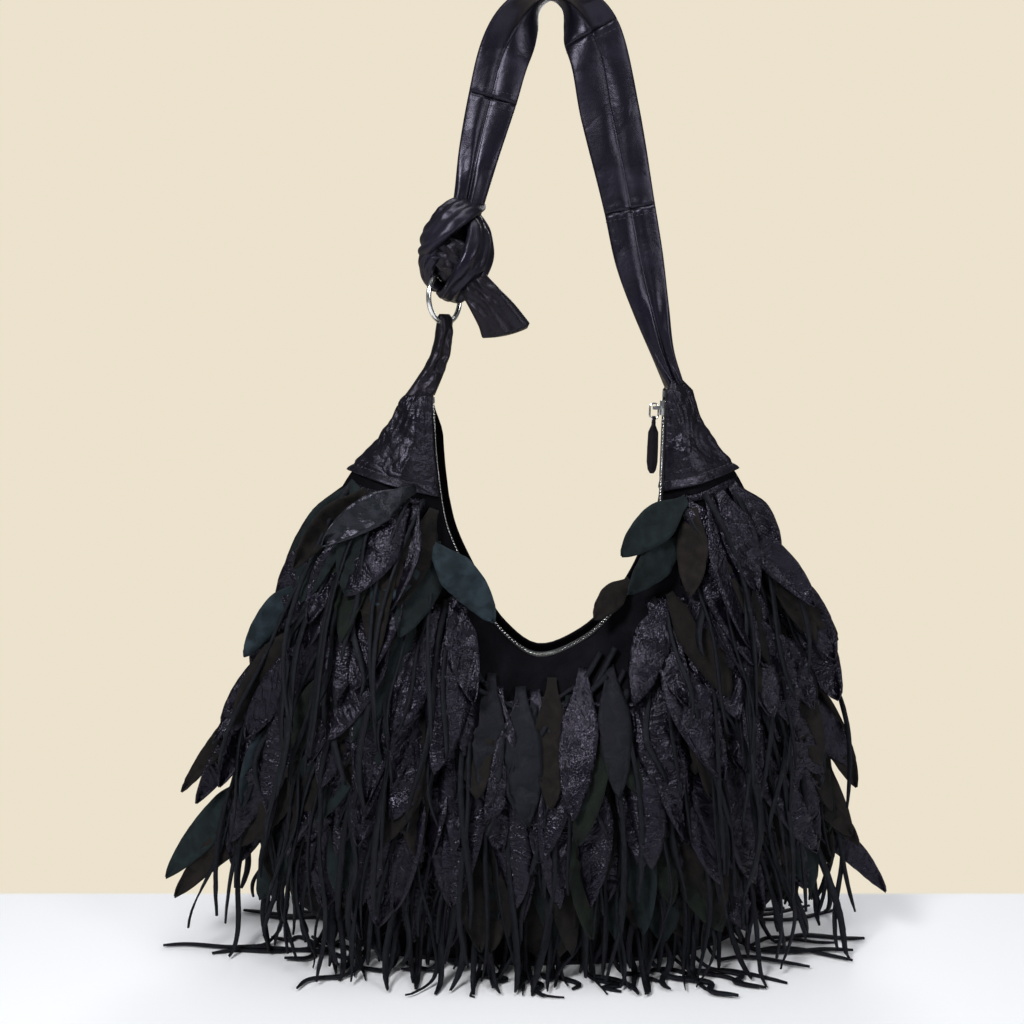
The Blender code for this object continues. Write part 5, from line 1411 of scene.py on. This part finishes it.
def lace_route(random, start_x, end, level):
    """Places of a floor lace: a drop from the hem band, a bend near the floor, and a wavy run to its end."""
    top_z = level + random.uniform(0, 6) * MM
    foot = float(depth_at(np.array(start_x), np.array(0.012))) + random.uniform(6, 12) * MM
    hang = float(depth_at(np.array(start_x), np.array(top_z)))
    middle = np.array([start_x, foot]) * 0.5 + end * 0.5
    bow = random.uniform(-14, 14) * MM
    floor = FLOOR_LIFT + random.uniform(0, 2.2) * MM
    rows = [
        (start_x, hang + SKIN + 2 * MM, top_z),
        (start_x + random.uniform(-3, 3) * MM, (hang + foot) / 2 + 4 * MM, top_z * 0.6),
        (start_x + random.uniform(-3, 3) * MM, foot, 12 * MM),
        (start_x * 0.85 + end[0] * 0.15 + bow * 0.3, foot * 0.8 + end[1] * 0.2 + 5 * MM, floor + 1 * MM),
        (middle[0] + bow, middle[1] + bow * 0.5, floor),
        (middle[0] * 0.4 + end[0] * 0.6 - bow * 0.5, middle[1] * 0.4 + end[1] * 0.6, floor),
        (end[0], end[1], floor),
    ]
    path = spline(np.array(rows), FLOOR_ROWS)
    path[:, 2] = np.maximum(path[:, 2], floor)
    return path


def floor_lace(random, start_x, end, level, side, width):
    """Ribbon along its route, which faces out of the body where it hangs and up where it lies."""
    path = lace_route(random, start_x, np.array(end, float) * MM, level) * np.array([1.0, side, 1.0])
    along = unit(np.gradient(path, axis=0))
    lying = smooth_step(-path[:, 2:3], -20 * MM, -5 * MM)
    face = unit((1 - lying) * np.array([0.0, side, 0.0]) + lying * UP)
    wide = unit(np.cross(along, face))
    face = np.cross(wide, along)
    half = width / 2 * lace_outline(np.linspace(0, 1, FLOOR_ROWS))[:, None, None]
    t = np.linspace(-1, 1, 3)[None, :, None]
    centre = path[:, None] + wide[:, None] * t * half
    front = centre + face[:, None] * LACE_THICKNESS / 2
    back = centre - face[:, None] * LACE_THICKNESS / 2
    front[..., 2] = np.maximum(front[..., 2], 2 * LEAST_HEIGHT)
    back[..., 2] = np.maximum(back[..., 2], LEAST_HEIGHT)
    return slab(front, back)


def make_hem(name, node, side, ends, seed):
    """Lowest row: its band, the long laces of the floor, and short laces over their roots."""
    random = np.random.default_rng(seed)
    span = row_spans(HEM_LEVEL, MOUTH_CLEAR)[0]
    parts = [header_band(span, HEM_LEVEL, side)]
    low, high = span
    for end in ends:
        share = (end[0] + FLOOR_REACH) / (2 * FLOOR_REACH) + random.uniform(-0.03, 0.03)
        start = low + 4 * MM + (high - low - 8 * MM) * np.clip(share, 0, 1)
        width = random.uniform(3.0, 4.6) * MM
        parts.append((*floor_lace(random, start, end, HEM_LEVEL, side, width), MATT))
    laces = draw_laces(random, span, HEM_LEVEL, 9 * MM)
    laces["length"] = random.uniform(34, 80, len(laces["x"])) * MM
    points, quads, _ = hanging_strips(laces, side, lace_outline, 3, 24, LACE_THICKNESS, seed + 2)
    parts.append(strip_part(points, quads, np.arange(len(points)), MATT))
    tones = np.concatenate([np.full(len(part[0]), random.uniform(-0.4, 0.5)) for part in parts])
    return new_piece(name, parts, LEAF_FINISHES, "bag", [node], tones)


back_random = np.random.default_rng(9)
back_x = np.linspace(-228, 232, 24)
back_ends = [(float(x), float(back_random.uniform(34, 84) * (1 - abs(x) / 420))) for x in back_x]
make_hem("front_hem_laces", "front_fringe_hem_laces", -1, FRONT_ENDS, 801)
make_hem("back_hem_laces", "back_fringe_hem_laces", 1, back_ends, 851)

# %% [markdown]
# Stage. The bag stands on a white table that ends just behind it, before a plain cream wall. The floor turns
# cream behind the table's edge and meets a cream world there, so the bag can still be seen from every side.

# %% Floor and world
TABLE_EDGE = 64.0 * MM
EDGE_BLEND = 4.0 * MM
TABLE_COLOUR = "f0f1f4"
WALL_COLOUR = "ece2cd"
FLOOR_HALF = 3.0


def make_floor():
    """White table up to its edge. Behind it the camera sees the wall's even cream, and light a matt one."""
    corners = [(-FLOOR_HALF, -FLOOR_HALF, 0.0), (FLOOR_HALF, -FLOOR_HALF, 0.0), (FLOOR_HALF, FLOOR_HALF, 0.0),
               (-FLOOR_HALF, FLOOR_HALF, 0.0)]
    mesh = bpy.data.meshes.new("floor")
    mesh.from_pydata(corners, [], [(0, 1, 2, 3)])
    floor = bpy.data.objects.new("floor", mesh)
    bpy.context.scene.collection.objects.link(floor)
    material, tree, shader = new_finish("table_and_wall", 0.55)
    shader.inputs["Base Color"].default_value = linear(TABLE_COLOUR)
    coords = add_node(tree, "ShaderNodeTexCoord")
    axes = add_node(tree, "ShaderNodeSeparateXYZ", {0: coords.outputs["Object"]})
    behind = add_node(tree, "ShaderNodeMapRange", {"Value": axes.outputs["Y"], "From Min": TABLE_EDGE,
                                                   "From Max": TABLE_EDGE + EDGE_BLEND})
    wall = add_node(tree, "ShaderNodeEmission", {"Color": linear(WALL_COLOUR), "Strength": 1.0})
    matt = add_node(tree, "ShaderNodeBsdfDiffuse", {"Color": linear(WALL_COLOUR)})
    path = add_node(tree, "ShaderNodeLightPath")
    cream = add_node(tree, "ShaderNodeMixShader", {0: path.outputs["Is Camera Ray"], 1: matt.outputs[0],
                                                   2: wall.outputs[0]})
    mixed = add_node(tree, "ShaderNodeMixShader", {0: behind.outputs[0], 1: shader.outputs[0],
                                                   2: cream.outputs[0]})
    tree.links.new(mixed.outputs[0], tree.nodes["Material Output"].inputs["Surface"])
    mesh.materials.append(material)


def make_world():
    """Even cream for the camera, and soft light for everything else."""
    world = bpy.data.worlds.new("room")
    bpy.context.scene.world = world
    world.use_nodes = True
    tree = world.node_tree
    tree.nodes.clear()
    path = add_node(tree, "ShaderNodeLightPath")
    seen = add_node(tree, "ShaderNodeBackground", {"Color": linear(WALL_COLOUR), "Strength": 1.0})
    light = add_node(tree, "ShaderNodeBackground", {"Color": linear("e8ebf2"), "Strength": 0.15})
    mix = add_node(tree, "ShaderNodeMixShader", {0: path.outputs["Is Camera Ray"], 1: light.outputs[0],
                                                 2: seen.outputs[0]})
    add_node(tree, "ShaderNodeOutputWorld", {"Surface": mix.outputs[0]})


make_floor()
make_world()


# %% [markdown]
# Lights. Large soft lamps in front, to the left and above draw long highlights down the glossy leaves. Weaker
# ones on the right and behind keep the far sides readable. All are neutral, so the leather's colours show.

# %% Lamps
def lamp(name, place, target, size, power):
    data = bpy.data.lights.new(name, "AREA")
    data.size = size
    data.energy = power
    thing = bpy.data.objects.new(name, data)
    thing.location = place
    thing.rotation_euler = (Vector(target) - Vector(place)).to_track_quat("-Z", "Y").to_euler()
    bpy.context.scene.collection.objects.link(thing)


lamp("key", (-0.75, -1.05, 1.25), (0.0, 0.0, 0.25), 0.42, 21.0)
lamp("fill", (1.0, -0.9, 0.8), (0.0, 0.0, 0.25), 0.5, 6.0)
lamp("top", (0.1, -0.1, 1.6), (0.0, 0.0, 0.2), 0.7, 9.0)
lamp("back", (0.2, 1.3, 1.0), (0.0, 0.0, 0.3), 0.8, 6.0)
bpy.context.scene.view_settings.view_transform = "Standard"

# %% The end
bpy.context.view_layer.update()
